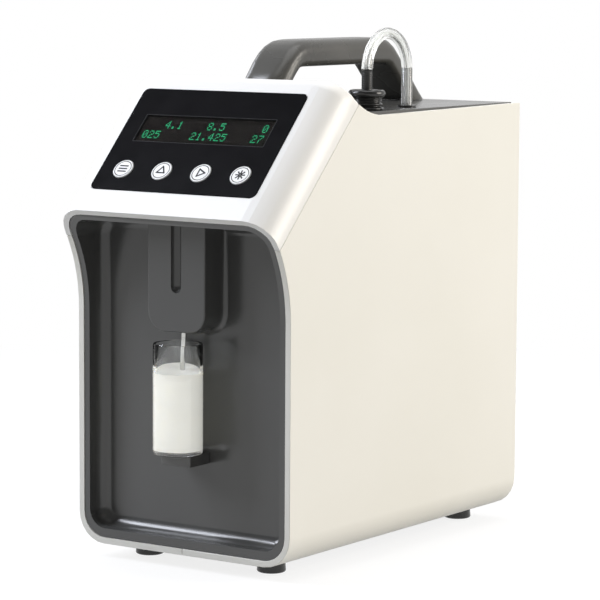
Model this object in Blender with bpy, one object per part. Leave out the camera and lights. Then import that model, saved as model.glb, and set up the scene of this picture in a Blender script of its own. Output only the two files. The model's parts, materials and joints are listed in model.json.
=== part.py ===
"""Bench-top milk analyzer: a moulded case with an open sampling bay, its panel, pump and tubing.

Metres, +Z up, +X to the right and +Y towards the back. Every piece is placed from the front rim
plane (y = 0) and the underside of the shells (z = 0) of an empty that stands the analyzer on z = 0.
"""

import math

import bmesh
import bpy
from mathutils import Matrix, Vector

# Whole case
WIDTH = 0.125
DEPTH = 0.2053
WALL = 0.003
GAP = 0.0003
RUNNING_GAP = 0.0003
OVERRUN = 0.006
BOTTOM_CORNER = 0.015
HALF = WIDTH / 2
INNER_HALF = HALF - WALL
FIT_HALF = INNER_HALF - GAP

# Rear panel
REAR_RECESS = 0.0031
REAR_THICKNESS = 0.0027
REAR_OUTER = DEPTH - REAR_RECESS
REAR_INNER = REAR_OUTER - REAR_THICKNESS

# Front rim, a straight foot that sweeps forward to the nose
RIM_STRAIGHT = 0.115
RIM_SWEEP_RADIUS = 0.073
SWEEP_HEIGHT = 0.0488
NOSE_HEIGHT = RIM_STRAIGHT + SWEEP_HEIGHT
NOSE_Y = math.sqrt(RIM_SWEEP_RADIUS**2 - SWEEP_HEIGHT**2) - RIM_SWEEP_RADIUS

# Control panel, measured up and across its own slanted face
PANEL_SIDE_MARGIN = 0.01435
PANEL_WIDTH = WIDTH - PANEL_SIDE_MARGIN * 2
PANEL_LENGTH = 0.0636
PANEL_CORNER = 0.003
PANEL_THICKNESS = 0.0005
PANEL_POCKET = 0.0005
WINDOW_SIDE_MARGIN = 0.00965
WINDOW_WIDTH = PANEL_WIDTH - WINDOW_SIDE_MARGIN * 2
WINDOW_HEIGHT = 0.0172
WINDOW_UP = 0.0069
WINDOW_CORNER = 0.0006
WINDOW_THICKNESS = 0.0012
KEY_COUNT = 4
KEY_SIDE_MARGIN = 0.0138
KEY_PITCH = (PANEL_WIDTH - KEY_SIDE_MARGIN * 2) / (KEY_COUNT - 1)
KEY_DOWN = 0.0192
KEY_RADIUS = 0.00535
KEY_CLEARANCE = 0.0003
KEY_PROUD = 0.0007
KEY_DISC = 0.0016
KEY_TRAVEL = 0.0005
KEY_STEM = 0.0020
KEY_EDGE = 0.0003
GUIDE_CLEARANCE = 0.0004
DISPLAY_BORDER = 0.0075
DISPLAY_WIDTH = WINDOW_WIDTH + DISPLAY_BORDER * 2
DISPLAY_HEIGHT = 0.026
DISPLAY_DEPTH = 0.006
DISPLAY_EDGE = 0.0008
BOARD_DEPTH_BELOW = 0.0115
BOARD_SIDE_GAP = 0.0085
BOARD_WIDTH = (INNER_HALF - BOARD_SIDE_GAP) * 2
BOARD_THICKNESS = 0.0016
BOARD_MARGIN = 0.003
SPACER_INSET = 0.008
SWITCH_SIZE = 0.0055
SWITCH_HEIGHT = 0.0032

# Head cover, whose face leaves a margin below and above the panel
FACE_ANGLE = math.radians(46.2)
FACE_LOW_MARGIN = 0.0135
FACE_HIGH_MARGIN = 0.0084
FACE_LENGTH = FACE_LOW_MARGIN + PANEL_LENGTH + FACE_HIGH_MARGIN
CREST_FRONT_RADIUS = 0.008
CREST_REAR_RADIUS = 0.0112
CREST_LENGTH = 0.0077
CREST_START = NOSE_Y + FACE_LENGTH * math.cos(FACE_ANGLE)
CREST_END = CREST_START + CREST_LENGTH
CREST_HEIGHT = NOSE_HEIGHT + FACE_LENGTH * math.sin(FACE_ANGLE)
CREST_FALL_RUN = 0.0101
CREST_FALL_ANGLE = math.radians(41)
CREST_BACK_ANGLE = math.radians(88)
CREST_BACK_RADIUS = 0.006
HEAD_CORNER = 0.015
HEAD_REAR_CORNER = 0.0045
HEAD_BACK = CREST_END + CREST_FALL_RUN
HEAD_BACK_TOP = CREST_HEIGHT - CREST_FALL_RUN * math.tan(CREST_FALL_ANGLE)

# Seam between the head cover and the side shells
SEAM_RISE = 0.0138
SEAM_BEND = 0.0065
SEAM_SET = 0.0025
SEAM_DROP = 0.011
SEAM_FOOT_HEIGHT = NOSE_HEIGHT - SEAM_RISE
SEAM_TOP_Y = HEAD_BACK - SEAM_SET
SEAM_TOP_HEIGHT = CREST_HEIGHT - SEAM_DROP

# Top edge of the side shells, which dips behind the seam and then climbs gently to the rear
DIP_LENGTH = 0.0212
DIP_DROP = 0.0058
SHELL_CLIMB = 0.0012
DIP_END_Y = SEAM_TOP_Y + DIP_LENGTH
SHELL_TOP = SEAM_TOP_HEIGHT - DIP_DROP
SHELL_REAR_TOP = SHELL_TOP + SHELL_CLIMB

# Deck, ledges and screw bosses
DECK_RISE = 0.0016
DECK_LAP = 0.0038
DECK_THICKNESS = 0.003
DECK_TOP = SHELL_TOP + DECK_RISE
DECK_UNDER = DECK_TOP - DECK_THICKNESS
DECK_FRONT = HEAD_BACK - DECK_LAP
LEDGE_WIDTH = 0.003
LEDGE_HEIGHT = 0.003
LEDGE_SET = 0.0075
LEDGE_FRONT = DECK_FRONT + LEDGE_SET
BOSS_SIZE = 0.0085
BOSS_DEPTH = 0.010
BOSS_LOW = 0.022
BOSS_DROP = 0.0173
BOSS_HIGH = DECK_UNDER - BOSS_DROP
BOSS_FACE = REAR_INNER - GAP
VENT_WIDTH = 0.040
VENT_HEIGHT = 0.0022
VENT_PITCH = 0.0056
VENT_DROP = 0.0673
VENT_LOW = DECK_UNDER - VENT_DROP
VENT_COUNT = 6

# Sampling bay liner
RIM_RECESS = 0.0004
BAY_SIDE = 0.0029
BAY_HALF = FIT_HALF - BAY_SIDE
BAY_FLOOR = 0.0075
BAY_LINTEL = 0.005
BAY_CEILING = NOSE_HEIGHT - BAY_LINTEL
BAY_BACK = 0.0105
BAY_CORNER = 0.009
BAY_FILLET = 0.0058
LINER_BACK_WALL = 0.0025
LINER_TOP_DROP = 0.0008
LINER_TOP = NOSE_HEIGHT - LINER_TOP_DROP
NOZZLE_HALF = 0.0168
NOZZLE_FRONT = -0.0048
NOZZLE_HEIGHT = 0.0514
NOZZLE_BOTTOM = BAY_CEILING - NOZZLE_HEIGHT
NOZZLE_CORNER = 0.0095
NOZZLE_EDGE = 0.0008
NOZZLE_FLARE = 0.0028
NOZZLE_WALL = 0.003
NOZZLE_FACE = 0.0044
NOZZLE_ROOF = 0.0018
GROOVE_RADIUS = 0.0030
GROOVE_RISE = 0.0216
GROOVE_END = NOZZLE_BOTTOM + GROOVE_RISE

# Sipper, shelf, glass and milk
SIPPER_RADIUS = 0.0013
SIPPER_LEAN = math.atan(0.064)
SIPPER_EXIT_Y = 0.0017
SIPPER_TOP = 0.012
SIPPER_REACH = 0.050
SIPPER_HOLE = SIPPER_RADIUS + RUNNING_GAP
FITTING_RADIUS = 0.0042
FITTING_WAIST = 0.0030
FITTING_HEIGHT = 0.011
FITTING_SEAT = NOZZLE_WALL + FITTING_RADIUS * math.tan(SIPPER_LEAN) + GAP
GLASS_Y = -0.0032
GLASS_RADIUS = 0.0119
GLASS_HEIGHT = 0.0528
GLASS_WALL = 0.0011
GLASS_BASE = 0.0018
GLASS_LIP = 0.0004
GLASS_LIFT = 0.0045
GLASS_HEADROOM = 0.0006
SHELF_HALF = 0.0087
SHELF_FRONT = -0.0055
SHELF_THICKNESS = 0.0055
SHELF_CORNER = 0.0012
SHELF_EDGE = 0.0005
SHELF_TOP = NOZZLE_BOTTOM - GLASS_HEADROOM - GLASS_LIFT - GLASS_HEIGHT - GAP
SHELF_BOTTOM = SHELF_TOP - SHELF_THICKNESS
PEG_RADIUS = 0.0016
PEG_LENGTH = 0.0024
PEG_SPREAD = 0.0052
MILK_DEPTH = 0.0390
MILK_WELL = SIPPER_RADIUS + GAP * 2 + GLASS_LIFT * math.sin(SIPPER_LEAN)

# Handle, from behind the head cover to near the rear edge of the deck
HANDLE_WIDTH = 0.025
HANDLE_RISE = 0.0330
HANDLE_THICKNESS = 0.0131
HANDLE_BREAK_RISE = 0.0112
HANDLE_LEG = 0.0138
HANDLE_FALL_RUN = 0.0338
HANDLE_REAR_LEG = 0.0151
HANDLE_INNER_RUN = 0.0203
HANDLE_REAR_SET = 0.0061
HANDLE_OUTER_RADIUS = 0.020
HANDLE_REAR_RADIUS = 0.012
HANDLE_INNER_RADIUS = 0.006
HANDLE_EDGE = 0.005
HANDLE_SCREW_INSET = 0.0035
HANDLE_SCREW_DEPTH = 0.008
HANDLE_FRONT = HEAD_BACK + GAP * 2
HANDLE_FRONT_INNER = HANDLE_FRONT + HANDLE_LEG
HANDLE_REAR = REAR_OUTER - HANDLE_REAR_SET
HANDLE_REAR_TOP = HANDLE_REAR - HANDLE_FALL_RUN
HANDLE_REAR_INNER = HANDLE_REAR - HANDLE_REAR_LEG
HANDLE_REAR_INNER_TOP = HANDLE_REAR_INNER - HANDLE_INNER_RUN
HANDLE_TOP = DECK_TOP + HANDLE_RISE
HANDLE_UNDER = HANDLE_TOP - HANDLE_THICKNESS
HANDLE_BREAK = DECK_TOP + HANDLE_BREAK_RISE

# Wash loop on the deck: rubber gland, black stem, clear loop and clear pipe
LOOP_INSET = 0.0155
LOOP_X = HALF - LOOP_INSET
GLAND_SET = 0.0273
GLAND_Y = HEAD_BACK + GLAND_SET
LOOP_SPAN = 0.0358
PIPE_Y = GLAND_Y + LOOP_SPAN
LOOP_RISE = 0.0187
LOOP_CENTRE = DECK_TOP + LOOP_RISE
HOSE_RADIUS = 0.0029
HOSE_BORE = 0.0017
STEM_RADIUS = 0.0026
STEM_DROP = 0.0213
STEM_BOTTOM = DECK_UNDER - STEM_DROP
SPIGOT_RADIUS = 0.0013
SPIGOT_LENGTH = 0.0015
PIPE_DROP = 0.0173
PIPE_BOTTOM = DECK_UNDER - PIPE_DROP
GLAND_RING = 0.0092
GLAND_NECK = 0.0066
GLAND_BASE = 0.0086
GLAND_PLUG = 0.0056
GLAND_LIP = 0.0015
GLAND_HEIGHT = 0.0100
GLAND_DROP = 0.0035
GLAND_PROFILE_SHARES = (
    (0.31, 1.00), (0.89, 0.92), (1.00, 0.84), (0.89, 0.76), (0.42, 0.68), (0.46, 0.65), (0.46, 0.60),
    (0.00, 0.57), (0.00, 0.52), (0.46, 0.42), (0.46, 0.34), (0.00, 0.23), (0.00, 0.20), (0.77, 0.12),
)
GROMMET_RADIUS = 0.0048
GROMMET_PLUG = 0.0040
GROMMET_HEIGHT = 0.0010

# Feet and screws
FOOT_INSET = 0.0261
FOOT_X = HALF - FOOT_INSET
FOOT_FRONT = 0.0224
FOOT_REAR_SET = 0.0112
FOOT_REAR = REAR_OUTER - FOOT_REAR_SET
FOOT_HEIGHT = 0.007
FOOT_RADIUS = 0.0070
FOOT_TOP_RADIUS = 0.0066
FOOT_EDGE = 0.0006
FOOT_COUNTERBORE = 0.0036
FOOT_RECESS = 0.0030
SCREW_SHANK = 0.00125
SCREW_HOLE = 0.0016
SCREW_HEAD = 0.0030
SCREW_HEAD_HEIGHT = 0.0018
SCREW_SOCKET = 0.0011
SCREW_SOCKET_DEPTH = 0.0009
PANEL_SCREW_LENGTH = 0.009

# Rear fittings
SWITCH_X = 0.030
SWITCH_Z = 0.050
BEZEL_WIDTH = 0.0150
BEZEL_HEIGHT = 0.0210
BEZEL_PROUD = 0.0016
BEZEL_WALL = 0.0017
SWITCH_BODY_DEPTH = 0.012
ROCKER_CLEARANCE = 0.0004
ROCKER_TILT = math.radians(8)
ROCKER_DEPTH = 0.0052
INLET_X = 0.005
INLET_FLANGE = 0.0078
INLET_BODY = 0.0055
INLET_PROUD = 0.0014
INLET_LENGTH = 0.014
INLET_BORE = 0.0029
INLET_BORE_DEPTH = 0.009
INLET_PIN = 0.0010
PORT_X = -0.026
PORT_WIDTH = 0.0170
PORT_HEIGHT = 0.0084
PORT_SLANT = 0.0013
PORT_CORNER = 0.0016
PORT_PROUD = 0.0014
PORT_FLANGE_WIDTH = 0.031
PORT_FLANGE_HEIGHT = 0.0126
PORT_FLANGE_THICKNESS = 0.0012
PORT_BODY_DEPTH = 0.008

# Chassis, main board and measuring cell
BASE_SIDE_GAP = 0.013
BASE_HALF = HALF - BASE_SIDE_GAP
BASE_FRONT = 0.017
BASE_REAR_GAP = 0.003
BASE_REAR = REAR_INNER - BASE_REAR_GAP
BASE_THICKNESS = 0.0016
STANDOFF_RADIUS = 0.0025
STANDOFF_HEIGHT = 0.006
MAIN_SIDE_GAP = 0.0115
MAIN_LEFT = MAIN_SIDE_GAP - HALF
MAIN_RIGHT = -0.006
MAIN_FRONT = 0.062
MAIN_REAR = 0.158
MAIN_INSET = 0.005
CHIP_SIZE = 0.014
CHIP_HEIGHT = 0.002
CAPACITOR_RADIUS = 0.005
CAPACITOR_HEIGHT = 0.012
CELL_WIDTH = 0.044
CELL_DEPTH = 0.026
CELL_HEIGHT = 0.030
CELL_FRONT = 0.022
CELL_EDGE = 0.001
NIPPLE_RADIUS = 0.0018
NIPPLE_HEIGHT = 0.006
NIPPLE_SPREAD = 0.012
CRYSTAL_RADIUS = 0.009
CRYSTAL_RIM = 0.0105
CRYSTAL_LENGTH = 0.007

# Peristaltic pump, whose rotor turns about an axis along X
PUMP_Y = 0.120
PUMP_Z = 0.036
BRACKET_X = 0.010
BRACKET_THICKNESS = 0.002
BRACKET_WIDTH = 0.050
BRACKET_HEIGHT = 0.056
BRACKET_FOOT = 0.020
BRACKET_CORNER = 0.004
SHAFT_HOLE = 0.004
MOTOR_RADIUS = 0.012
MOTOR_LENGTH = 0.030
MOTOR_BOSS = 0.0035
PUMP_OUTER = 0.020
PUMP_INNER = 0.0175
PUMP_DEPTH = 0.013
PUMP_FLOOR = 0.002
PUMP_MOUTH = 0.002
TUBE_RADIUS = 0.0019
TUBE_TRACK = 0.0152
TUBE_REACH = 0.030
ROLLER_COUNT = 3
ROLLER_TRACK = 0.0082
ROLLER_RADIUS = 0.0038
ROLLER_BORE = 0.0018
ROLLER_LENGTH = 0.006
ROLLER_PIN = 0.0015
ROTOR_RADIUS = 0.0112
ROTOR_PLATE = 0.002
ROTOR_HUB = 0.0034
ROTOR_SHAFT = 0.0025

ARC_STEPS = 6
EDGE_RINGS = 3
FLARE_SHARE = 0.9
TURN_STEPS = 28
SMALL_TURN_STEPS = 12
STRAIGHT_SHARE = 0.2

for old in list(bpy.data.objects):
    bpy.data.objects.remove(old, do_unlink=True)

analyzer = bpy.data.collections.new("milk_analyzer")
cutters = bpy.data.collections.new("cutters")
for group in (analyzer, cutters):
    bpy.context.scene.collection.children.link(group)


def rim_y(height, recess=0):
    """Y of the front rim at a height, or of a face that lies recess behind it."""
    rise = max(height - RIM_STRAIGHT, 0)
    return math.sqrt((RIM_SWEEP_RADIUS + recess) ** 2 - rise**2) - RIM_SWEEP_RADIUS


origin = bpy.data.objects.new("front_rim_origin", None)
origin.location = (0, -(DEPTH + NOSE_Y) / 2, FOOT_HEIGHT)
analyzer.objects.link(origin)

UP_FACE = Vector((0, math.cos(FACE_ANGLE), math.sin(FACE_ANGLE)))
OUT_OF_FACE = Vector((0, -math.sin(FACE_ANGLE), math.cos(FACE_ANGLE)))
NOSE = Vector((0, NOSE_Y, NOSE_HEIGHT))
PANEL_CENTRE = NOSE + UP_FACE * (FACE_LOW_MARGIN + PANEL_LENGTH / 2)

# Each matrix takes an outline drawn in X and Y to the plane that its name gives.
SIDE_PLANE = Matrix(((0, 0, 1, 0), (1, 0, 0, 0), (0, 1, 0, 0), (0, 0, 0, 1)))
FRONT_PLANE = Matrix(((1, 0, 0, 0), (0, 0, -1, 0), (0, 1, 0, 0), (0, 0, 0, 1)))
ALONG_X = Matrix.Rotation(math.pi / 2, 4, "Y")
ALONG_Y = Matrix.Rotation(-math.pi / 2, 4, "X")
FACE_PLANE = Matrix((Vector((1, 0, 0)), UP_FACE, OUT_OF_FACE)).transposed().to_4x4()


def on_panel(across, up, out):
    """A place on the slanted face, out from its surface."""
    return PANEL_CENTRE + Vector((across, 0, 0)) + UP_FACE * up + OUT_OF_FACE * out


def material(name, colour, roughness, metallic=0.0, alpha=1.0):
    made = bpy.data.materials.new(name)
    made.use_nodes = True
    shader = made.node_tree.nodes["Principled BSDF"]
    shader.inputs["Base Color"].default_value = (*colour, 1)
    shader.inputs["Roughness"].default_value = roughness
    shader.inputs["Metallic"].default_value = metallic
    shader.inputs["Alpha"].default_value = alpha
    return made


WHITE_ABS = ("white_abs", (0.86, 0.86, 0.84), 0.35)
IVORY_ABS = ("ivory_abs", (0.84, 0.83, 0.78), 0.40)
GREY_ABS = ("dark_grey_abs", (0.09, 0.09, 0.085), 0.25)
HANDLE_ABS = ("handle_abs", (0.12, 0.11, 0.10), 0.35)
PANEL_FILM = ("black_panel_film", (0.015, 0.015, 0.017), 0.30)
WINDOW_ACRYLIC = ("window_acrylic", (0.02, 0.02, 0.02), 0.10, 0.0, 0.6)
KEY_WHITE = ("key_white", (0.80, 0.80, 0.78), 0.40)
RUBBER = ("black_rubber", (0.02, 0.02, 0.02), 0.45)
CLEAR_PVC = ("clear_pvc", (0.85, 0.88, 0.88), 0.05, 0.0, 0.35)
GLASS = ("borosilicate_glass", (0.90, 0.93, 0.92), 0.02, 0.0, 0.30)
MILK = ("milk", (0.86, 0.86, 0.80), 0.30)
STAINLESS = ("stainless_steel", (0.55, 0.55, 0.54), 0.25, 1.0)
ZINC_STEEL = ("zinc_plated_steel", (0.48, 0.48, 0.47), 0.40, 1.0)
ALUMINIUM = ("aluminium", (0.60, 0.60, 0.61), 0.35, 1.0)
CIRCUIT_BOARD = ("circuit_board", (0.02, 0.16, 0.06), 0.45)
BLACK_NYLON = ("black_nylon", (0.03, 0.03, 0.03), 0.45)
SILICONE = ("silicone_tube", (0.75, 0.74, 0.70), 0.50)


def part(name, mesh, look, at=(0, 0, 0), smooth=True):
    """Makes a mesh a piece of the analyzer, with its own material."""
    obj = bpy.data.objects.new(name, mesh)
    mesh.materials.clear()
    mesh.materials.append(material(f"{name}_{look[0]}", *look[1:]))
    if smooth:
        mesh.shade_smooth()
        mesh.set_sharp_from_angle(angle=math.radians(30))
    obj.location = at
    obj.parent = origin
    analyzer.objects.link(obj)
    return obj


def cutter(name, mesh, at=(0, 0, 0), parent=origin):
    obj = bpy.data.objects.new(name, mesh)
    obj.hide_render = True
    obj.display_type = "WIRE"
    obj.location = at
    obj.parent = parent
    cutters.objects.link(obj)
    return obj


def combine(obj, other, operation):
    modifier = obj.modifiers.new(f"{operation.lower()}_{other.name}", "BOOLEAN")
    modifier.operation = operation
    modifier.object = other
    return obj


def cut(obj, name, mesh, at=(0, 0, 0)):
    return combine(obj, cutter(name, mesh, at), "DIFFERENCE")


def fuse(obj, name, mesh, at=(0, 0, 0)):
    return combine(obj, cutter(name, mesh, at), "UNION")


def keep_inside(obj, name, mesh, at=(0, 0, 0)):
    return combine(obj, cutter(name, mesh, at), "INTERSECT")


def mesh_of(builder, name="shape"):
    mesh = bpy.data.meshes.new(name)
    builder.to_mesh(mesh)
    builder.free()
    return mesh


def block(low, high, edge=0, segments=2, turn=Matrix()):
    """A box between two corners, with its edges rounded if edge is given."""
    low = Vector(low)
    high = Vector(high)
    builder = bmesh.new()
    bmesh.ops.create_cube(builder, size=1)
    bmesh.ops.scale(builder, vec=high - low, verts=builder.verts)
    bmesh.ops.translate(builder, vec=(high + low) / 2, verts=builder.verts)
    if edge:
        bmesh.ops.bevel(
            builder,
            geom=builder.edges[:],
            offset=edge,
            segments=segments,
            profile=0.5,
            affect="EDGES",
            clamp_overlap=True,
        )
    bmesh.ops.transform(builder, matrix=turn, verts=builder.verts)
    return mesh_of(builder)


def rod(radius, low, high, turn=Matrix(), steps=TURN_STEPS):
    """A cylinder along Z between two heights, then turned."""
    builder = bmesh.new()
    bmesh.ops.create_cone(
        builder, cap_ends=True, segments=steps, radius1=radius, radius2=radius, depth=high - low
    )
    bmesh.ops.translate(builder, vec=(0, 0, (low + high) / 2), verts=builder.verts)
    bmesh.ops.transform(builder, matrix=turn, verts=builder.verts)
    return mesh_of(builder)


def rounded(corners, steps=ARC_STEPS):
    """Points of an outline through (u, v, radius) corners, with an arc at each radius."""
    points = []
    for index, (u, v, radius) in enumerate(corners):
        here = Vector((u, v))
        if not radius:
            points.append(here)
            continue
        before = (Vector(corners[index - 1][:2]) - here).normalized()
        after = (Vector(corners[(index + 1) % len(corners)][:2]) - here).normalized()
        half = before.angle(after) / 2
        centre = here + (before + after).normalized() * radius / math.sin(half)
        first = here + before * radius / math.tan(half) - centre
        last = here + after * radius / math.tan(half) - centre
        start = math.atan2(first.y, first.x)
        sweep = math.remainder(math.atan2(last.y, last.x) - start, math.tau)
        points += [centre + arm(radius, start + sweep * k / steps) for k in range(steps + 1)]
    return points


def arm(radius, angle):
    return Vector((radius * math.cos(angle), radius * math.sin(angle)))


def evaluated_mesh(curve, turn):
    """The welded mesh of a curve, whose caps are loose until then."""
    guide = bpy.data.objects.new("guide", curve)
    cutters.objects.link(guide)
    graph = bpy.context.evaluated_depsgraph_get()
    mesh = bpy.data.meshes.new_from_object(guide.evaluated_get(graph))
    bpy.data.objects.remove(guide)
    bpy.data.curves.remove(curve)
    builder = bmesh.new()
    builder.from_mesh(mesh)
    bmesh.ops.remove_doubles(builder, verts=builder.verts, dist=GAP / 1000)
    bmesh.ops.transform(builder, matrix=turn, verts=builder.verts)
    bmesh.ops.recalc_face_normals(builder, faces=builder.faces)
    builder.to_mesh(mesh)
    builder.free()
    return mesh


def plate(outline, low, high, turn=Matrix(), edge=0):
    """A flat outline, drawn in X and Y, given thickness along Z, its rims rounded by edge."""
    curve = bpy.data.curves.new("outline", "CURVE")
    curve.dimensions = "2D"
    curve.fill_mode = "BOTH"
    curve.extrude = (high - low) / 2 - edge
    curve.bevel_depth = edge
    curve.bevel_resolution = EDGE_RINGS
    curve.offset = -edge
    spline = curve.splines.new("POLY")
    spline.points.add(len(outline) - 1)
    for point, place in zip(spline.points, outline):
        point.co = (place[0], place[1], 0, 1)
    spline.use_cyclic_u = True
    return evaluated_mesh(curve, turn @ Matrix.Translation((0, 0, (low + high) / 2)))


def rectangle(left, right, low, high, radius=0):
    return rounded([(left, low, radius), (right, low, radius), (right, high, radius), (left, high, radius)])


def tube(points, radius, resolution=3):
    """A round tube along points, with closed ends."""
    curve = bpy.data.curves.new("route", "CURVE")
    curve.dimensions = "3D"
    curve.bevel_depth = radius
    curve.bevel_resolution = resolution
    curve.use_fill_caps = True
    spline = curve.splines.new("POLY")
    spline.points.add(len(points) - 1)
    for point, place in zip(spline.points, points):
        point.co = (*place, 1)
    return evaluated_mesh(curve, Matrix())


def lofted(rings):
    """A solid through rings that have as many points each, closed at both ends."""
    builder = bmesh.new()
    rows = [[builder.verts.new(place) for place in ring] for ring in rings]
    for near, far in zip(rows, rows[1:]):
        for k in range(len(near)):
            builder.faces.new((near[k - 1], near[k], far[k], far[k - 1]))
    for ends in (rows[0], rows[-1]):
        builder.faces.new(ends)
    bmesh.ops.recalc_face_normals(builder, faces=builder.faces)
    return mesh_of(builder)


def turned(profile, turn=Matrix(), steps=TURN_STEPS):
    """A profile of (radius, height) points, spun about Z. It closes on the axis or on itself."""
    builder = bmesh.new()
    ring = [builder.verts.new((radius, 0, height)) for radius, height in profile]
    edges = [builder.edges.new(pair) for pair in zip(ring, ring[1:])]
    if profile[0][0] and profile[-1][0]:
        edges.append(builder.edges.new((ring[-1], ring[0])))
    bmesh.ops.spin(
        builder, geom=ring + edges, cent=(0, 0, 0), axis=(0, 0, 1), angle=math.tau, steps=steps,
        use_merge=True,
    )
    bmesh.ops.remove_doubles(builder, verts=builder.verts, dist=GAP / 1000)
    bmesh.ops.recalc_face_normals(builder, faces=builder.faces)
    bmesh.ops.transform(builder, matrix=turn, verts=builder.verts)
    return mesh_of(builder)


def smooth_route(knots, spacing):
    """Points about a spacing apart on the smooth curve through knots, straight at its two ends."""
    knots = [Vector(knot) for knot in knots]
    padded = [knots[0] * 2 - knots[1], *knots, knots[-1] * 2 - knots[-2]]
    points = [knots[0]]
    for a, b, c, d in zip(padded, padded[1:], padded[2:], padded[3:]):
        steps = max(2, round((c - b).length / spacing))
        for k in range(1, steps + 1):
            t = k / steps
            bend = a * 2 - b * 5 + c * 4 - d
            twist = b * 3 - a - c * 3 + d
            points.append((b * 2 + (c - a) * t + bend * t**2 + twist * t**3) / 2)
    points.insert(1, knots[0].lerp(knots[1], STRAIGHT_SHARE))
    points.insert(-1, knots[-1].lerp(knots[-2], STRAIGHT_SHARE))
    return points


def sweep_of_rim(recess, top, steps=10):
    """Points up the curved part of the rim, from its straight foot to a height."""
    radius = RIM_SWEEP_RADIUS + recess
    full = math.asin((top - RIM_STRAIGHT) / radius)
    centre = Vector((-RIM_SWEEP_RADIUS, RIM_STRAIGHT))
    return [centre + arm(radius, full * k / steps) for k in range(steps + 1)]


SEAM_FOOT = Vector((rim_y(SEAM_FOOT_HEIGHT), SEAM_FOOT_HEIGHT))
SEAM_TOP = Vector((SEAM_TOP_Y, SEAM_TOP_HEIGHT))
SEAM_NORMAL = Vector((SEAM_FOOT.y - SEAM_TOP.y, SEAM_TOP.x - SEAM_FOOT.x)).normalized()
SIPPER_TURN = Matrix.Rotation(-SIPPER_LEAN, 4, "X")


def side_profile(grow=0):
    """Side view of a side shell, in Y and Z, grown past its seam and its top edge if asked."""
    run = DIP_END_Y - SEAM_TOP.x
    rise = SEAM_TOP.y - SHELL_TOP
    radius = (run**2 + rise**2) / (2 * rise)
    centre = Vector((DIP_END_Y, SHELL_TOP + radius))
    full = math.asin(run / radius)
    turns = [-math.pi / 2 - full * (1 - k / ARC_STEPS) for k in range(ARC_STEPS + 1)]
    dip = [centre + arm(radius - grow, turn) for turn in turns]
    front = [Vector((0, 0)), *sweep_of_rim(0, SEAM_FOOT_HEIGHT)]
    if grow:
        ahead = SEAM_FOOT + (SEAM_FOOT - SEAM_TOP).normalized() * OVERRUN + SEAM_NORMAL * grow
        front = [Vector((ahead.x, 0)), ahead, SEAM_TOP + SEAM_NORMAL * grow]
    return [*front, *dip, Vector((DEPTH, SHELL_REAR_TOP + grow)), Vector((DEPTH, 0))]


def screw_mesh(length, turn):
    """A pan-head screw with a round driver socket, its head above z = 0 before it is turned."""
    head = SCREW_HEAD_HEIGHT
    return turned(
        [
            (0, head - SCREW_SOCKET_DEPTH),
            (SCREW_SOCKET, head - SCREW_SOCKET_DEPTH),
            (SCREW_SOCKET, head),
            (SCREW_HEAD * 2 / 3, head),
            (SCREW_HEAD, head / 2),
            (SCREW_HEAD, GAP),
            (SCREW_SHANK, GAP),
            (SCREW_SHANK, SCREW_SHANK - length),
            (0, -length),
        ],
        turn,
        SMALL_TURN_STEPS,
    )


def foot_places():
    for end, y in (("front", FOOT_FRONT), ("rear", FOOT_REAR)):
        for side, x in (("left", -FOOT_X), ("right", FOOT_X)):
            yield f"{end}_{side}", x, y


def boss_places():
    offset = INNER_HALF - BOSS_SIZE / 2
    for end, z in (("lower", BOSS_LOW), ("upper", BOSS_HIGH)):
        for side, x in (("left", -offset), ("right", offset)):
            yield f"{end}_{side}", x, z


def make_side_shell(name, side):
    """Half of the U-shaped case, open in front, with its deck ledge and rear screw bosses."""
    channel = [
        (side * GAP / 2, 0, 0),
        (side * HALF, 0, BOTTOM_CORNER),
        (side * HALF, SEAM_TOP_HEIGHT + OVERRUN, 0),
        (side * INNER_HALF, SEAM_TOP_HEIGHT + OVERRUN, 0),
        (side * INNER_HALF, WALL, BOTTOM_CORNER - WALL),
        (side * GAP / 2, WALL, 0),
    ]
    shell = part(name, plate(rounded(channel), -DEPTH - OVERRUN, -NOSE_Y + OVERRUN, FRONT_PLANE), IVORY_ABS)
    keep_inside(shell, f"{name}_profile", plate(side_profile(), -WIDTH, WIDTH, SIDE_PLANE))
    edges = sorted((side * (INNER_HALF - LEDGE_WIDTH), side * (INNER_HALF + WALL / 2)))
    ledge_top = DECK_UNDER - GAP
    fuse(
        shell,
        f"{name}_ledge",
        block((edges[0], LEDGE_FRONT, ledge_top - LEDGE_HEIGHT), (edges[1], BOSS_FACE, ledge_top)),
    )
    for place, x, z in boss_places():
        if x * side < 0:
            continue
        sides = sorted((x - side * BOSS_SIZE / 2, x + side * (BOSS_SIZE / 2 + WALL / 2)))
        low = (sides[0], BOSS_FACE - BOSS_DEPTH, z - BOSS_SIZE / 2)
        fuse(shell, f"boss_{place}", block(low, (sides[1], BOSS_FACE, z + BOSS_SIZE / 2)))
        hole = rod(SCREW_HOLE, -OVERRUN, PANEL_SCREW_LENGTH, ALONG_Y.inverted(), SMALL_TURN_STEPS)
        cut(shell, f"boss_hole_{place}", hole, (x, BOSS_FACE, z))
    for place, x, y in foot_places():
        if x * side > 0:
            hole = rod(SCREW_HOLE, -OVERRUN, WALL + OVERRUN, steps=SMALL_TURN_STEPS)
            cut(shell, f"foot_hole_{place}", hole, (x, y, 0))
    return shell


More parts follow.
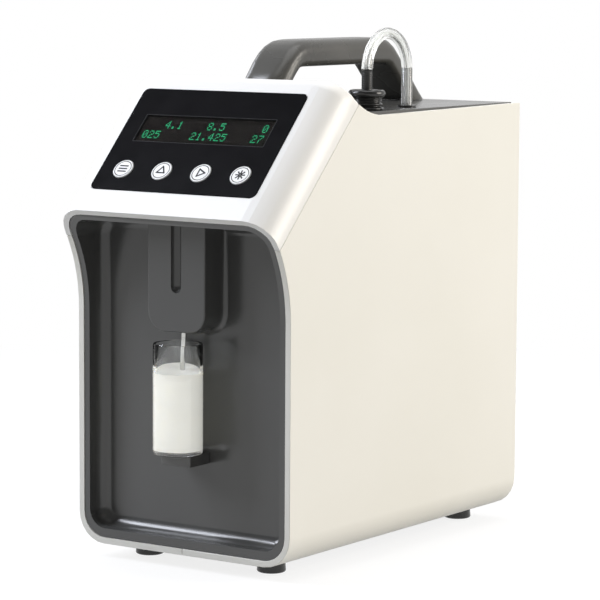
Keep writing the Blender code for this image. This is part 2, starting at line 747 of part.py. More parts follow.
def head_stations(inset, over):
    """Stations over the head cover: the top, the corner's centre and its width, inset and lengthened."""
    start = NOSE - UP_FACE * (HEAD_CORNER / 2 + over)
    foot = DECK_TOP - over
    lean = (HEAD_BACK_TOP - foot) / math.tan(CREST_BACK_ANGLE)
    tops = rounded(
        [
            (start.y, start.z, 0),
            (CREST_START, CREST_HEIGHT, CREST_FRONT_RADIUS),
            (CREST_END, CREST_HEIGHT, CREST_REAR_RADIUS),
            (HEAD_BACK, HEAD_BACK_TOP, CREST_BACK_RADIUS),
            (HEAD_BACK + lean, foot, 0),
        ]
    )
    low = start - OUT_OF_FACE * HEAD_CORNER
    bend = low + UP_FACE * ((SEAM_TOP.x - SEAM_BEND - low.y) / UP_FACE.y)
    level = SEAM_TOP.y + GAP
    centres = rounded(
        [
            (low.y, low.z, 0),
            (bend.y, bend.z, HEAD_CORNER / 2),
            (SEAM_TOP.x - SEAM_BEND / 2, level, HEAD_REAR_CORNER / 4),
            (HEAD_BACK - HEAD_REAR_CORNER, level, HEAD_REAR_CORNER / 8),
            (HEAD_BACK + lean - HEAD_REAR_CORNER, foot, 0),
        ]
    )
    narrowing = HEAD_CORNER - HEAD_REAR_CORNER
    last = len(tops) - 2
    stations = []
    for index, (top, centre) in enumerate(zip(tops, centres)):
        share = min(max((index - last) / ARC_STEPS + 1, 0), 1)
        way = top - centre
        top = centre + way * (1 - inset / way.length)
        stations.append((top, centre, HEAD_CORNER - narrowing * share - inset))
    return stations


def head_solid(inset, over):
    """A solid under the head cover's surface, lofted through its stations and closed below."""
    builder = bmesh.new()
    half = HALF - inset
    rows = []
    for top, centre, width in head_stations(inset, over):
        side = [(half, Vector((centre.x, RIM_STRAIGHT - over)))]
        for k in range(ARC_STEPS + 1):
            turn = math.pi / 2 * k / ARC_STEPS
            side.append((half - width + width * math.cos(turn), centre + (top - centre) * math.sin(turn)))
        rows.append([[builder.verts.new((way * x, *place)) for x, place in side] for way in (-1, 1)])
    for near, far in zip(rows, rows[1:]):
        for side in (0, 1):
            for k in range(ARC_STEPS + 1):
                builder.faces.new((near[side][k], near[side][k + 1], far[side][k + 1], far[side][k]))
        for k in (0, -1):
            builder.faces.new((near[0][k], far[0][k], far[1][k], near[1][k]))
    for left, right in (rows[0], rows[-1]):
        for k in range(ARC_STEPS + 1):
            builder.faces.new((left[k], left[k + 1], right[k + 1], right[k]))
    bmesh.ops.recalc_face_normals(builder, faces=builder.faces)
    return mesh_of(builder)


def key_places():
    for index, name in enumerate(("menu_key", "up_key", "next_key", "start_key")):
        yield name, (index - (KEY_COUNT - 1) / 2) * KEY_PITCH


def make_head_cover():
    """The white upper moulding: nose, slanted face, crest and the cheeks down to the seam."""
    cover = part("head_cover", head_solid(0, 0), WHITE_ABS)
    cut(cover, "head_hollow", head_solid(WALL, OVERRUN))
    sweep = sweep_of_rim(0, NOSE_HEIGHT + OVERRUN)
    ahead = [
        (sweep[0].x, RIM_STRAIGHT),
        *sweep[1:],
        (sweep[-1].x, NOSE_HEIGHT + 2 * OVERRUN),
        (sweep[-1].x - HALF, NOSE_HEIGHT + 2 * OVERRUN),
        (sweep[-1].x - HALF, RIM_STRAIGHT),
    ]
    cut(cover, "ahead_of_rim", plate(ahead, -WIDTH, WIDTH, SIDE_PLANE))
    for side in (-1, 1):
        edges = sorted((side * FIT_HALF, side * WIDTH))
        cut(cover, f"shell_space_{edges[0] > 0}", plate(side_profile(GAP), *edges, SIDE_PLANE))
    deck_space = block((-WIDTH, DECK_FRONT - GAP, DECK_UNDER - OVERRUN), (WIDTH, DEPTH, DECK_TOP + GAP))
    cut(cover, "deck_space", deck_space)
    pocket = rectangle(
        -PANEL_WIDTH / 2 - GAP, PANEL_WIDTH / 2 + GAP, -PANEL_LENGTH / 2 - GAP, PANEL_LENGTH / 2 + GAP,
        PANEL_CORNER + GAP,
    )
    cut(cover, "panel_pocket", plate(pocket, -PANEL_POCKET, OVERRUN, FACE_PLANE), PANEL_CENTRE)
    opening = rectangle(
        -WINDOW_WIDTH / 2, WINDOW_WIDTH / 2, WINDOW_UP - WINDOW_HEIGHT / 2, WINDOW_UP + WINDOW_HEIGHT / 2,
        WINDOW_CORNER,
    )
    cut(cover, "display_opening", plate(opening, -WALL - OVERRUN, OVERRUN, FACE_PLANE), PANEL_CENTRE)
    for name, across in key_places():
        well = rod(KEY_RADIUS + GUIDE_CLEARANCE, -WALL - OVERRUN, OVERRUN, FACE_PLANE)
        cut(cover, f"{name}_well", well, on_panel(across, -KEY_DOWN, 0))
    return cover


def make_bay_liner():
    """The dark sampling bay: its rim flange, the shallow recess and the nozzle housing."""
    low = WALL + GAP
    outline = [
        (-FIT_HALF, low, BOTTOM_CORNER - WALL - GAP),
        (FIT_HALF, low, BOTTOM_CORNER - WALL - GAP),
        (FIT_HALF, LINER_TOP + OVERRUN, 0),
        (-FIT_HALF, LINER_TOP + OVERRUN, 0),
    ]
    back = BAY_BACK + LINER_BACK_WALL
    liner = part("bay_liner", plate(rounded(outline), -back, -NOSE_Y + OVERRUN, FRONT_PLANE), GREY_ABS)
    sweep = sweep_of_rim(RIM_RECESS, LINER_TOP)
    behind = back + OVERRUN
    profile = [(RIM_RECESS, low - OVERRUN), *sweep, (behind, LINER_TOP), (behind, low - OVERRUN)]
    keep_inside(liner, "liner_profile", plate(profile, -WIDTH, WIDTH, SIDE_PLANE))
    inner_corner = HEAD_CORNER - WALL
    under_head = rounded(
        [
            (-FIT_HALF, -WALL - GAP, inner_corner),
            (-FIT_HALF, -NOSE_HEIGHT * 2, 0),
            (FIT_HALF, -NOSE_HEIGHT * 2, 0),
            (FIT_HALF, -WALL - GAP, inner_corner),
        ]
    )
    along_face = Matrix((Vector((1, 0, 0)), OUT_OF_FACE, -UP_FACE)).transposed().to_4x4()
    keep_inside(liner, "under_head", plate(under_head, -WIDTH, NOSE_HEIGHT, along_face), NOSE)
    cut(liner, "bay_recess", recess_mesh())
    fuse(liner, "nozzle_housing", nozzle_mesh())
    hollow = nozzle_outline(-NOZZLE_WALL, BAY_CEILING - NOZZLE_ROOF)
    cut(liner, "nozzle_hollow", plate(hollow, -back - OVERRUN, -NOZZLE_FRONT - NOZZLE_FACE, FRONT_PLANE))
    groove = rod(GROOVE_RADIUS, 0, BAY_CEILING - GROOVE_END + GAP)
    cut(liner, "nozzle_groove", groove, (0, NOZZLE_FRONT, GROOVE_END))
    end = bmesh.new()
    bmesh.ops.create_uvsphere(
        end, u_segments=SMALL_TURN_STEPS, v_segments=ARC_STEPS * 2, radius=GROOVE_RADIUS
    )
    cut(liner, "groove_end", mesh_of(end), (0, NOZZLE_FRONT, GROOVE_END))
    exit_place = (0, SIPPER_EXIT_Y, NOZZLE_BOTTOM)
    bore = rod(SIPPER_HOLE, -OVERRUN, OVERRUN, SIPPER_TURN, SMALL_TURN_STEPS)
    cut(liner, "sipper_bore", bore, exit_place)
    seat = rod(FITTING_RADIUS + GAP * 2, FITTING_SEAT - GAP, FITTING_SEAT + FITTING_HEIGHT + GAP, SIPPER_TURN)
    cut(liner, "fitting_seat", seat, exit_place)
    for side in (-1, 1):
        peg = rod(PEG_RADIUS + GAP, -OVERRUN, OVERRUN, ALONG_Y, SMALL_TURN_STEPS)
        place = (side * PEG_SPREAD, BAY_BACK, (SHELF_TOP + SHELF_BOTTOM) / 2)
        cut(liner, f"shelf_hole_{side > 0}", peg, place)
    return liner


def nozzle_outline(grow, top):
    """Front view of the nozzle housing up to a height, grown on its sides and bottom."""
    half = NOZZLE_HALF + grow
    low = NOZZLE_BOTTOM - grow
    corner = NOZZLE_CORNER + grow
    return rounded([(-half, low, corner), (half, low, corner), (half, top, 0), (-half, top, 0)])


def nozzle_mesh():
    """The nozzle housing: a soft front edge, and a flare where it meets the back of the bay."""
    quarter = [math.pi / 2 * k / ARC_STEPS for k in range(ARC_STEPS + 1)]
    stations = []
    for turn in quarter[::2]:
        y = NOZZLE_FRONT + NOZZLE_EDGE * (1 - math.cos(turn))
        stations.append((y, NOZZLE_EDGE * (math.sin(turn) - 1)))
    for turn in quarter:
        y = BAY_BACK - NOZZLE_FLARE * (1 - math.sin(turn * FLARE_SHARE))
        stations.append((y, NOZZLE_FLARE * (1 - math.cos(turn * FLARE_SHARE))))
    stations.append((BAY_BACK + GAP, stations[-1][1]))
    top = BAY_CEILING + GAP
    return lofted([[Vector((x, y, z)) for x, z in nozzle_outline(grow, top)] for y, grow in stations])


def recess_mesh():
    """The space of the bay, rounded at its corners and where its walls meet the back."""
    builder = bmesh.new()
    bmesh.ops.create_cube(builder, size=1)
    front = NOSE_Y - OVERRUN
    size = (BAY_HALF * 2, BAY_BACK - front, BAY_CEILING - BAY_FLOOR)
    bmesh.ops.scale(builder, vec=size, verts=builder.verts)
    middle = (0, (BAY_BACK + front) / 2, (BAY_CEILING + BAY_FLOOR) / 2)
    bmesh.ops.translate(builder, vec=middle, verts=builder.verts)
    deep = [edge for edge in builder.edges if edge.verts[0].co.y != edge.verts[1].co.y]
    bmesh.ops.bevel(
        builder, geom=deep, offset=BAY_CORNER, segments=ARC_STEPS, profile=0.5, affect="EDGES",
        clamp_overlap=True,
    )
    back = [edge for edge in builder.edges if min(vert.co.y for vert in edge.verts) > BAY_BACK - GAP]
    bmesh.ops.bevel(
        builder, geom=back, offset=BAY_FILLET, segments=ARC_STEPS - 1, profile=0.5, affect="EDGES",
        clamp_overlap=True,
    )
    return mesh_of(builder)


def make_sampling_pieces():
    """Sipper, its fitting, the shelf, and the glass with its milk, which lift as one."""
    exit_place = (0, SIPPER_EXIT_Y, NOZZLE_BOTTOM)
    sipper = rod(SIPPER_RADIUS, -SIPPER_REACH, SIPPER_TOP, SIPPER_TURN, SMALL_TURN_STEPS)
    part("sipper_tube", sipper, STAINLESS, exit_place)
    seat = FITTING_SEAT
    fitting = turned(
        [
            (FITTING_WAIST, seat + FITTING_HEIGHT),
            (FITTING_WAIST, seat + FITTING_HEIGHT / 2),
            (FITTING_RADIUS, seat + FITTING_HEIGHT / 2),
            (FITTING_RADIUS, seat),
            (SIPPER_RADIUS + RUNNING_GAP, seat),
            (SIPPER_RADIUS + RUNNING_GAP, seat + FITTING_HEIGHT),
        ],
        SIPPER_TURN,
        SMALL_TURN_STEPS,
    )
    part("sipper_fitting", fitting, BLACK_NYLON, exit_place)
    back = BAY_BACK - GAP
    outline = rounded(
        [
            (-SHELF_HALF, SHELF_FRONT, SHELF_CORNER),
            (SHELF_HALF, SHELF_FRONT, SHELF_CORNER),
            (SHELF_HALF, back, 0),
            (-SHELF_HALF, back, 0),
        ]
    )
    shelf = part("cup_shelf", plate(outline, SHELF_BOTTOM, SHELF_TOP, edge=SHELF_EDGE), GREY_ABS)
    for side in (-1, 1):
        peg = rod(PEG_RADIUS, -OVERRUN / 2, PEG_LENGTH, ALONG_Y, SMALL_TURN_STEPS)
        place = (side * PEG_SPREAD, back, (SHELF_TOP + SHELF_BOTTOM) / 2)
        fuse(shelf, f"shelf_peg_{side > 0}", peg, place)
    glass_base = SHELF_TOP + GAP
    inner = GLASS_RADIUS - GLASS_WALL
    glass = turned(
        [
            (0, GLASS_BASE),
            (inner - GLASS_LIP, GLASS_BASE),
            (inner, GLASS_BASE + GLASS_LIP),
            (inner, GLASS_HEIGHT - GLASS_LIP),
            (inner + GLASS_LIP, GLASS_HEIGHT),
            (GLASS_RADIUS - GLASS_LIP, GLASS_HEIGHT),
            (GLASS_RADIUS, GLASS_HEIGHT - GLASS_LIP),
            (GLASS_RADIUS, GLASS_LIP),
            (GLASS_RADIUS - GLASS_LIP, 0),
            (0, 0),
        ]
    )
    part("sample_glass", glass, GLASS, (0, GLASS_Y, glass_base))
    radius = inner - GAP
    floor = GLASS_BASE + GAP
    filling = turned(
        [
            (0, MILK_DEPTH),
            (radius, MILK_DEPTH),
            (radius, floor + GLASS_LIP),
            (radius - GLASS_LIP, floor),
            (0, floor),
        ]
    )
    milk = part("milk_sample", filling, MILK, (0, GLASS_Y, glass_base))
    well = rod(MILK_WELL, -SIPPER_REACH - GLASS_LIFT - GAP, 0, SIPPER_TURN, SMALL_TURN_STEPS)
    cut(milk, "sipper_well", well, exit_place)


def make_panel():
    """The film over the face, its window and keys, and the display and board behind them."""
    film_low = GAP - PANEL_POCKET
    outline = rectangle(-PANEL_WIDTH / 2, PANEL_WIDTH / 2, -PANEL_LENGTH / 2, PANEL_LENGTH / 2, PANEL_CORNER)
    sheet = plate(outline, film_low, film_low + PANEL_THICKNESS, FACE_PLANE)
    film = part("control_panel", sheet, PANEL_FILM, PANEL_CENTRE)
    low = WINDOW_UP - WINDOW_HEIGHT / 2
    high = WINDOW_UP + WINDOW_HEIGHT / 2
    opening = rectangle(-WINDOW_WIDTH / 2, WINDOW_WIDTH / 2, low, high, WINDOW_CORNER)
    cut(film, "film_window", plate(opening, -OVERRUN, OVERRUN, FACE_PLANE), PANEL_CENTRE)
    half = WINDOW_WIDTH / 2 - GAP
    outline = rectangle(-half, half, low + GAP, high - GAP, WINDOW_CORNER)
    pane_top = film_low + PANEL_THICKNESS
    pane = plate(outline, pane_top - WINDOW_THICKNESS, pane_top, FACE_PLANE)
    part("display_window", pane, WINDOW_ACRYLIC, PANEL_CENTRE)
    display_top = -WALL - GAP
    part(
        "display_module",
        block(
            (-DISPLAY_WIDTH / 2, WINDOW_UP - DISPLAY_HEIGHT / 2, display_top - DISPLAY_DEPTH),
            (DISPLAY_WIDTH / 2, WINDOW_UP + DISPLAY_HEIGHT / 2, display_top),
            DISPLAY_EDGE,
            1,
            FACE_PLANE,
        ),
        BLACK_NYLON,
        PANEL_CENTRE,
    )
    board_top = -BOARD_DEPTH_BELOW
    board_low = -KEY_DOWN - SWITCH_SIZE
    board_high = WINDOW_UP + DISPLAY_HEIGHT / 2 + BOARD_MARGIN
    board_outline = rectangle(-BOARD_WIDTH / 2, BOARD_WIDTH / 2, board_low, board_high, BOARD_MARGIN)
    board = part(
        "control_board",
        plate(board_outline, board_top - BOARD_THICKNESS, board_top, FACE_PLANE),
        CIRCUIT_BOARD,
        PANEL_CENTRE,
    )
    spacer_top = display_top - DISPLAY_DEPTH - GAP
    for side in (-1, 1):
        across = side * (BOARD_WIDTH / 2 - SPACER_INSET)
        spacer = rod(BOARD_MARGIN / 2, board_top - GAP, spacer_top, FACE_PLANE, SMALL_TURN_STEPS)
        fuse(board, f"display_spacer_{side > 0}", spacer, on_panel(across, WINDOW_UP, 0))
    stem_end = board_top + SWITCH_HEIGHT + KEY_TRAVEL + GAP
    key_back = KEY_PROUD - KEY_DISC
    for name, across in key_places():
        place = on_panel(across, -KEY_DOWN, 0)
        hole = rod(KEY_RADIUS + KEY_CLEARANCE, -OVERRUN, OVERRUN, FACE_PLANE)
        cut(film, f"{name}_hole", hole, place)
        key = turned(
            [
                (0, KEY_PROUD),
                (KEY_RADIUS - KEY_EDGE, KEY_PROUD),
                (KEY_RADIUS, KEY_PROUD - KEY_EDGE),
                (KEY_RADIUS, key_back),
                (KEY_STEM, key_back),
                (KEY_STEM, stem_end),
                (0, stem_end),
            ],
            FACE_PLANE,
        )
        part(name, key, KEY_WHITE, place)
        half = SWITCH_SIZE / 2
        high = board_top + SWITCH_HEIGHT
        body = block((-half, -half, board_top - GAP), (half, half, high), turn=FACE_PLANE)
        fuse(board, f"{name}_switch", body, place)


def make_deck():
    """The dark deck between the side shells, with its holes for the gland, pipe and screws."""
    outline = rectangle(-FIT_HALF, FIT_HALF, DECK_FRONT, REAR_OUTER, GAP)
    deck = part("top_deck", plate(outline, DECK_UNDER, DECK_TOP), GREY_ABS)
    cut(deck, "gland_hole", rod(GLAND_PLUG + GAP, -OVERRUN, OVERRUN), (LOOP_X, GLAND_Y, DECK_TOP))
    cut(deck, "pipe_hole", rod(GROMMET_PLUG + GAP, -OVERRUN, OVERRUN), (LOOP_X, PIPE_Y, DECK_TOP))
    for name, y in handle_screws():
        hole = rod(SCREW_HOLE, -OVERRUN, OVERRUN, steps=SMALL_TURN_STEPS)
        cut(deck, f"{name}_hole", hole, (0, y, DECK_TOP))
    return deck


def handle_screws():
    yield "handle_screw_front", (HANDLE_FRONT + HANDLE_FRONT_INNER) / 2
    yield "handle_screw_rear", HANDLE_REAR_INNER + HANDLE_SCREW_INSET


def make_handle():
    """The carrying handle: a soft-edged bow with leaning legs, long over the rear one."""
    foot = DECK_TOP + GAP
    below = foot - HANDLE_EDGE * 2
    lean = HANDLE_TOP - HANDLE_BREAK
    beyond = (foot - below) * HANDLE_FALL_RUN / (HANDLE_TOP - foot)
    within = (foot - below) * HANDLE_INNER_RUN / (HANDLE_UNDER - foot)
    profile = [
        (HANDLE_FRONT, below, 0),
        (HANDLE_FRONT, HANDLE_BREAK, HANDLE_INNER_RADIUS),
        (HANDLE_FRONT + lean, HANDLE_TOP, HANDLE_OUTER_RADIUS),
        (HANDLE_REAR_TOP, HANDLE_TOP, HANDLE_REAR_RADIUS),
        (HANDLE_REAR + beyond, below, 0),
        (HANDLE_REAR_INNER + within, below, 0),
        (HANDLE_REAR_INNER_TOP, HANDLE_UNDER, HANDLE_INNER_RADIUS),
        (HANDLE_FRONT_INNER + HANDLE_UNDER - HANDLE_BREAK, HANDLE_UNDER, HANDLE_INNER_RADIUS),
        (HANDLE_FRONT_INNER, HANDLE_BREAK, HANDLE_INNER_RADIUS),
        (HANDLE_FRONT_INNER, below, 0),
    ]
    bow = plate(rounded(profile), -HANDLE_WIDTH / 2, HANDLE_WIDTH / 2, SIDE_PLANE, HANDLE_EDGE)
    handle = part("carry_handle", bow, HANDLE_ABS)
    low = (-WIDTH, HANDLE_FRONT - WIDTH, below - WIDTH)
    cut(handle, "deck_level", block(low, (WIDTH, HANDLE_REAR + WIDTH, foot)))
    for name, y in handle_screws():
        hole = rod(SCREW_HOLE, -OVERRUN, HANDLE_SCREW_DEPTH + GAP, steps=SMALL_TURN_STEPS)
        cut(handle, f"{name}_socket", hole, (0, y, foot))
        turn = Matrix.Rotation(math.pi, 4, "X")
        length = HANDLE_SCREW_DEPTH + DECK_THICKNESS
        part(name, screw_mesh(length, turn), ZINC_STEEL, (0, y, DECK_UNDER))
    return handle


def make_wash_loop():
    """The rubber gland and black stem, the clear loop over them, and the clear pipe it joins."""
    bore = STEM_RADIUS + RUNNING_GAP
    ribs = [
        (GLAND_NECK + (GLAND_RING - GLAND_NECK) * out, GLAND_HEIGHT * up)
        for out, up in GLAND_PROFILE_SHARES
    ]
    gland = turned(
        [
            (bore, GLAND_HEIGHT),
            *ribs,
            (GLAND_BASE, GAP),
            (GLAND_PLUG, GAP),
            (GLAND_PLUG, -DECK_THICKNESS - GAP),
            (GLAND_PLUG + GLAND_LIP, -DECK_THICKNESS - GAP),
            (GLAND_PLUG - GAP, -DECK_THICKNESS - GLAND_DROP),
            (bore, -DECK_THICKNESS - GLAND_DROP),
        ]
    )
    part("rubber_gland", gland, RUBBER, (LOOP_X, GLAND_Y, DECK_TOP))
    hose_end = LOOP_CENTRE
    stem = turned(
        [
            (0, hose_end + SPIGOT_LENGTH),
            (SPIGOT_RADIUS, hose_end + SPIGOT_LENGTH),
            (SPIGOT_RADIUS, hose_end - GAP),
            (STEM_RADIUS, hose_end - GAP),
            (STEM_RADIUS, STEM_BOTTOM),
            (0, STEM_BOTTOM),
        ],
        steps=SMALL_TURN_STEPS,
    )
    part("black_stem_tube", stem, RUBBER, (LOOP_X, GLAND_Y, 0))
    radius = (PIPE_Y - GLAND_Y) / 2
    middle = (PIPE_Y + GLAND_Y) / 2
    steps = ARC_STEPS * 4
    turns = [math.pi * k / steps for k in range(steps + 1)]
    route = [(LOOP_X, middle - radius * math.cos(t), hose_end + radius * math.sin(t)) for t in turns]
    loop = part("clear_hose_loop", tube(route, HOSE_RADIUS), CLEAR_PVC)
    below = [(route[0][0], route[0][1], route[0][2] - OVERRUN)]
    past = [(route[-1][0], route[-1][1], route[-1][2] - OVERRUN)]
    cut(loop, "hose_bore", tube(below + route + past, HOSE_BORE))
    pipe = turned(
        [
            (HOSE_BORE, hose_end - GAP),
            (HOSE_RADIUS, hose_end - GAP),
            (HOSE_RADIUS, PIPE_BOTTOM),
            (HOSE_BORE, PIPE_BOTTOM),
        ],
        steps=SMALL_TURN_STEPS,
    )
    part("clear_pipe", pipe, CLEAR_PVC, (LOOP_X, PIPE_Y, 0))
    bore = HOSE_RADIUS + RUNNING_GAP
    grommet = turned(
        [
            (bore, GROMMET_HEIGHT + GAP),
            (GROMMET_RADIUS, GROMMET_HEIGHT),
            (GROMMET_RADIUS, GAP),
            (GROMMET_PLUG, GAP),
            (GROMMET_PLUG, -DECK_THICKNESS - GAP),
            (GROMMET_RADIUS, -DECK_THICKNESS - GAP),
            (GROMMET_PLUG, -DECK_THICKNESS - GROMMET_HEIGHT * 2),
            (bore, -DECK_THICKNESS - GROMMET_HEIGHT * 2),
        ]
    )
    part("pipe_grommet", grommet, RUBBER, (LOOP_X, PIPE_Y, DECK_TOP))


def make_feet():
    """Four rubber feet, each held by a screw through the shell into the chassis."""
    for place, x, y in foot_places():
        foot = turned(
            [
                (FOOT_TOP_RADIUS, -GAP),
                (FOOT_RADIUS, -FOOT_HEIGHT + FOOT_EDGE),
                (FOOT_RADIUS - FOOT_EDGE, -FOOT_HEIGHT),
                (FOOT_COUNTERBORE, -FOOT_HEIGHT),
                (FOOT_COUNTERBORE, -FOOT_HEIGHT + FOOT_RECESS),
                (SCREW_HOLE, -FOOT_HEIGHT + FOOT_RECESS),
                (SCREW_HOLE, -GAP),
            ]
        )
        part(f"foot_{place}", foot, RUBBER, (x, y, 0))
        seat = -FOOT_HEIGHT + FOOT_RECESS
        length = WALL + BASE_THICKNESS - seat
        turn = Matrix.Rotation(math.pi, 4, "X")
        part(f"foot_screw_{place}", screw_mesh(length, turn), ZINC_STEEL, (x, y, seat))


def port_outline(grow=0):
    """The D shape of the data port, wider at its top."""
    half = PORT_WIDTH / 2 + grow
    high = PORT_HEIGHT / 2 + grow
    return rounded(
        [
            (-half + PORT_SLANT, -high, PORT_CORNER),
            (half - PORT_SLANT, -high, PORT_CORNER),
            (half, high, PORT_CORNER),
            (-half, high, PORT_CORNER),
        ]
    )


def make_rear():
    """The rear panel with its vents, and the switch, inlet and data port that it carries."""
    low = WALL + GAP
    corner = BOTTOM_CORNER - WALL - GAP
    outline = [
        (-FIT_HALF, low, corner),
        (FIT_HALF, low, corner),
        (FIT_HALF, DECK_UNDER - GAP, 0),
        (-FIT_HALF, DECK_UNDER - GAP, 0),
    ]
    panel = part("rear_panel", plate(rounded(outline), -REAR_OUTER, -REAR_INNER, FRONT_PLANE), GREY_ABS)
    for index in range(VENT_COUNT):
        z = VENT_LOW + index * VENT_PITCH
        slot = rectangle(-VENT_WIDTH / 2, VENT_WIDTH / 2, z, z + VENT_HEIGHT, VENT_HEIGHT / 2 - GAP / 2)
        cut(panel, f"vent_{index}", plate(slot, -REAR_OUTER - OVERRUN, -REAR_INNER + OVERRUN, FRONT_PLANE))
    away = ALONG_Y
    for place, x, z in boss_places():
        hole = rod(SCREW_HOLE, -OVERRUN, OVERRUN, ALONG_Y, SMALL_TURN_STEPS)
        cut(panel, f"panel_hole_{place}", hole, (x, REAR_INNER, z))
        screw = screw_mesh(PANEL_SCREW_LENGTH, away)
        part(f"rear_screw_{place}", screw, ZINC_STEEL, (x, REAR_OUTER, z))
    body_half = BEZEL_WIDTH / 2 - BEZEL_WALL
    body_high = BEZEL_HEIGHT / 2 - BEZEL_WALL
    switch_at = (SWITCH_X, REAR_OUTER, SWITCH_Z)
    space = block((-body_half - GAP, -OVERRUN, -body_high - GAP), (body_half + GAP, OVERRUN, body_high + GAP))
    cut(panel, "switch_opening", space, switch_at)
    switch = part(
        "power_switch",
        block(
            (-BEZEL_WIDTH / 2, GAP, -BEZEL_HEIGHT / 2),
            (BEZEL_WIDTH / 2, BEZEL_PROUD, BEZEL_HEIGHT / 2),
            BEZEL_PROUD / 3,
            1,
        ),
        BLACK_NYLON,
        switch_at,
        False,
    )
    housing = block((-body_half, -SWITCH_BODY_DEPTH, -body_high), (body_half, GAP * 2, body_high))
    fuse(switch, "switch_body", housing, switch_at)
    well_half = body_half - BEZEL_WALL / 2
    well_high = body_high - BEZEL_WALL / 2
    well = block((-well_half, -ROCKER_DEPTH * 2, -well_high), (well_half, OVERRUN, well_high))
    cut(switch, "rocker_well", well, switch_at)
    make_rocker(well_half - ROCKER_CLEARANCE, well_high)
    inlet_at = (INLET_X, REAR_OUTER, SWITCH_Z)
    cut(panel, "inlet_hole", rod(INLET_BODY + GAP, -OVERRUN, OVERRUN, ALONG_Y), inlet_at)
    inlet = turned(
        [
            (0, INLET_PROUD - INLET_BORE / 2),
            (INLET_PIN, INLET_PROUD - INLET_BORE / 2),
            (INLET_PIN, INLET_PROUD - INLET_BORE_DEPTH),
            (INLET_BORE, INLET_PROUD - INLET_BORE_DEPTH),
            (INLET_BORE, INLET_PROUD),
            (INLET_FLANGE - GAP, INLET_PROUD),
            (INLET_FLANGE, INLET_PROUD - GAP),
            (INLET_FLANGE, GAP),
            (INLET_BODY, GAP),
            (INLET_BODY, -INLET_LENGTH),
            (0, -INLET_LENGTH),
        ],
        ALONG_Y,
    )
    part("power_inlet", inlet, BLACK_NYLON, inlet_at)
    port_at = (PORT_X, REAR_OUTER, SWITCH_Z)
    cut(panel, "port_opening", plate(port_outline(GAP), -OVERRUN, OVERRUN, FRONT_PLANE), port_at)
    shroud = plate(port_outline(), -PORT_PROUD, REAR_THICKNESS + GAP * 2, FRONT_PLANE)
    port = part("data_port", shroud, ZINC_STEEL, port_at)
    flange_front = -REAR_THICKNESS - GAP
    flange = block(
        (-PORT_FLANGE_WIDTH / 2, flange_front - PORT_FLANGE_THICKNESS, -PORT_FLANGE_HEIGHT / 2),
        (PORT_FLANGE_WIDTH / 2, flange_front, PORT_FLANGE_HEIGHT / 2),
    )
    fuse(port, "port_flange", flange, port_at)
    half = PORT_WIDTH / 2 + PORT_SLANT
    body_back = flange_front - PORT_BODY_DEPTH
    body = block((-half, body_back, -PORT_HEIGHT / 2), (half, flange_front - GAP, PORT_HEIGHT / 2))
    fuse(port, "port_body", body, port_at)
    return panel


def make_rocker(half, high):
    """The rocker, whose two faces meet in a shallow V. It rests tilted, with its upper end out."""
    reach = high - ROCKER_CLEARANCE * 2
    proud = reach * math.tan(ROCKER_TILT)
    profile = rounded(
        [
            (-ROCKER_DEPTH / 2, -reach / 2, WALL / 2),
            (proud, -reach, WALL / 4),
            (BEZEL_PROUD / 2, 0, 0),
            (proud, reach, WALL / 4),
            (-ROCKER_DEPTH / 2, reach / 2, WALL / 2),
        ],
        3,
    )
    tilt = Matrix.Rotation(-ROCKER_TILT, 4, "X")
    place = (SWITCH_X, REAR_OUTER, SWITCH_Z)
    return part("power_rocker", plate(profile, -half, half, tilt @ SIDE_PLANE), BLACK_NYLON, place)


def make_chassis():
    """The chassis plate, the main board on its standoffs, and the measuring cell."""
    low = WALL + GAP
    top = low + BASE_THICKNESS
    outline = rectangle(-BASE_HALF, BASE_HALF, BASE_FRONT, BASE_REAR, WALL)
    base = part("chassis_plate", plate(outline, low, top), ZINC_STEEL)
    for place, x, y in foot_places():
        hole = rod(SCREW_HOLE, 0, OVERRUN, steps=SMALL_TURN_STEPS)
        cut(base, f"base_hole_{place}", hole, (x, y, WALL))
    board_low = top + STANDOFF_HEIGHT + GAP
    for side, x in (("left", MAIN_LEFT + MAIN_INSET), ("right", MAIN_RIGHT - MAIN_INSET)):
        for end, y in (("front", MAIN_FRONT + MAIN_INSET), ("rear", MAIN_REAR - MAIN_INSET)):
            post = rod(STANDOFF_RADIUS, top - GAP, top + STANDOFF_HEIGHT, steps=SMALL_TURN_STEPS)
            fuse(base, f"standoff_{end}_{side}", post, (x, y, 0))
    board_top = board_low + BOARD_THICKNESS
    outline = rectangle(MAIN_LEFT, MAIN_RIGHT, MAIN_FRONT, MAIN_REAR, GAP * 4)
    board = part("main_board", plate(outline, board_low, board_top), CIRCUIT_BOARD)
    middle = (MAIN_LEFT + MAIN_RIGHT) / 2
    for index in range(2):
        y = MAIN_FRONT + MAIN_INSET * 4 + index * CHIP_SIZE * 2
        chip = block(
            (middle - CHIP_SIZE / 2, y - CHIP_SIZE / 2, board_top - GAP),
            (middle + CHIP_SIZE / 2, y + CHIP_SIZE / 2, board_top + CHIP_HEIGHT),
        )
        fuse(board, f"chip_{index}", chip)
        can = rod(CAPACITOR_RADIUS, board_top - GAP, board_top + CAPACITOR_HEIGHT, steps=SMALL_TURN_STEPS)
        can_x = middle + (index * 2 - 1) * CAPACITOR_RADIUS * 2
        fuse(board, f"capacitor_{index}", can, (can_x, MAIN_REAR - MAIN_INSET * 3, 0))
    make_cell(top + GAP)


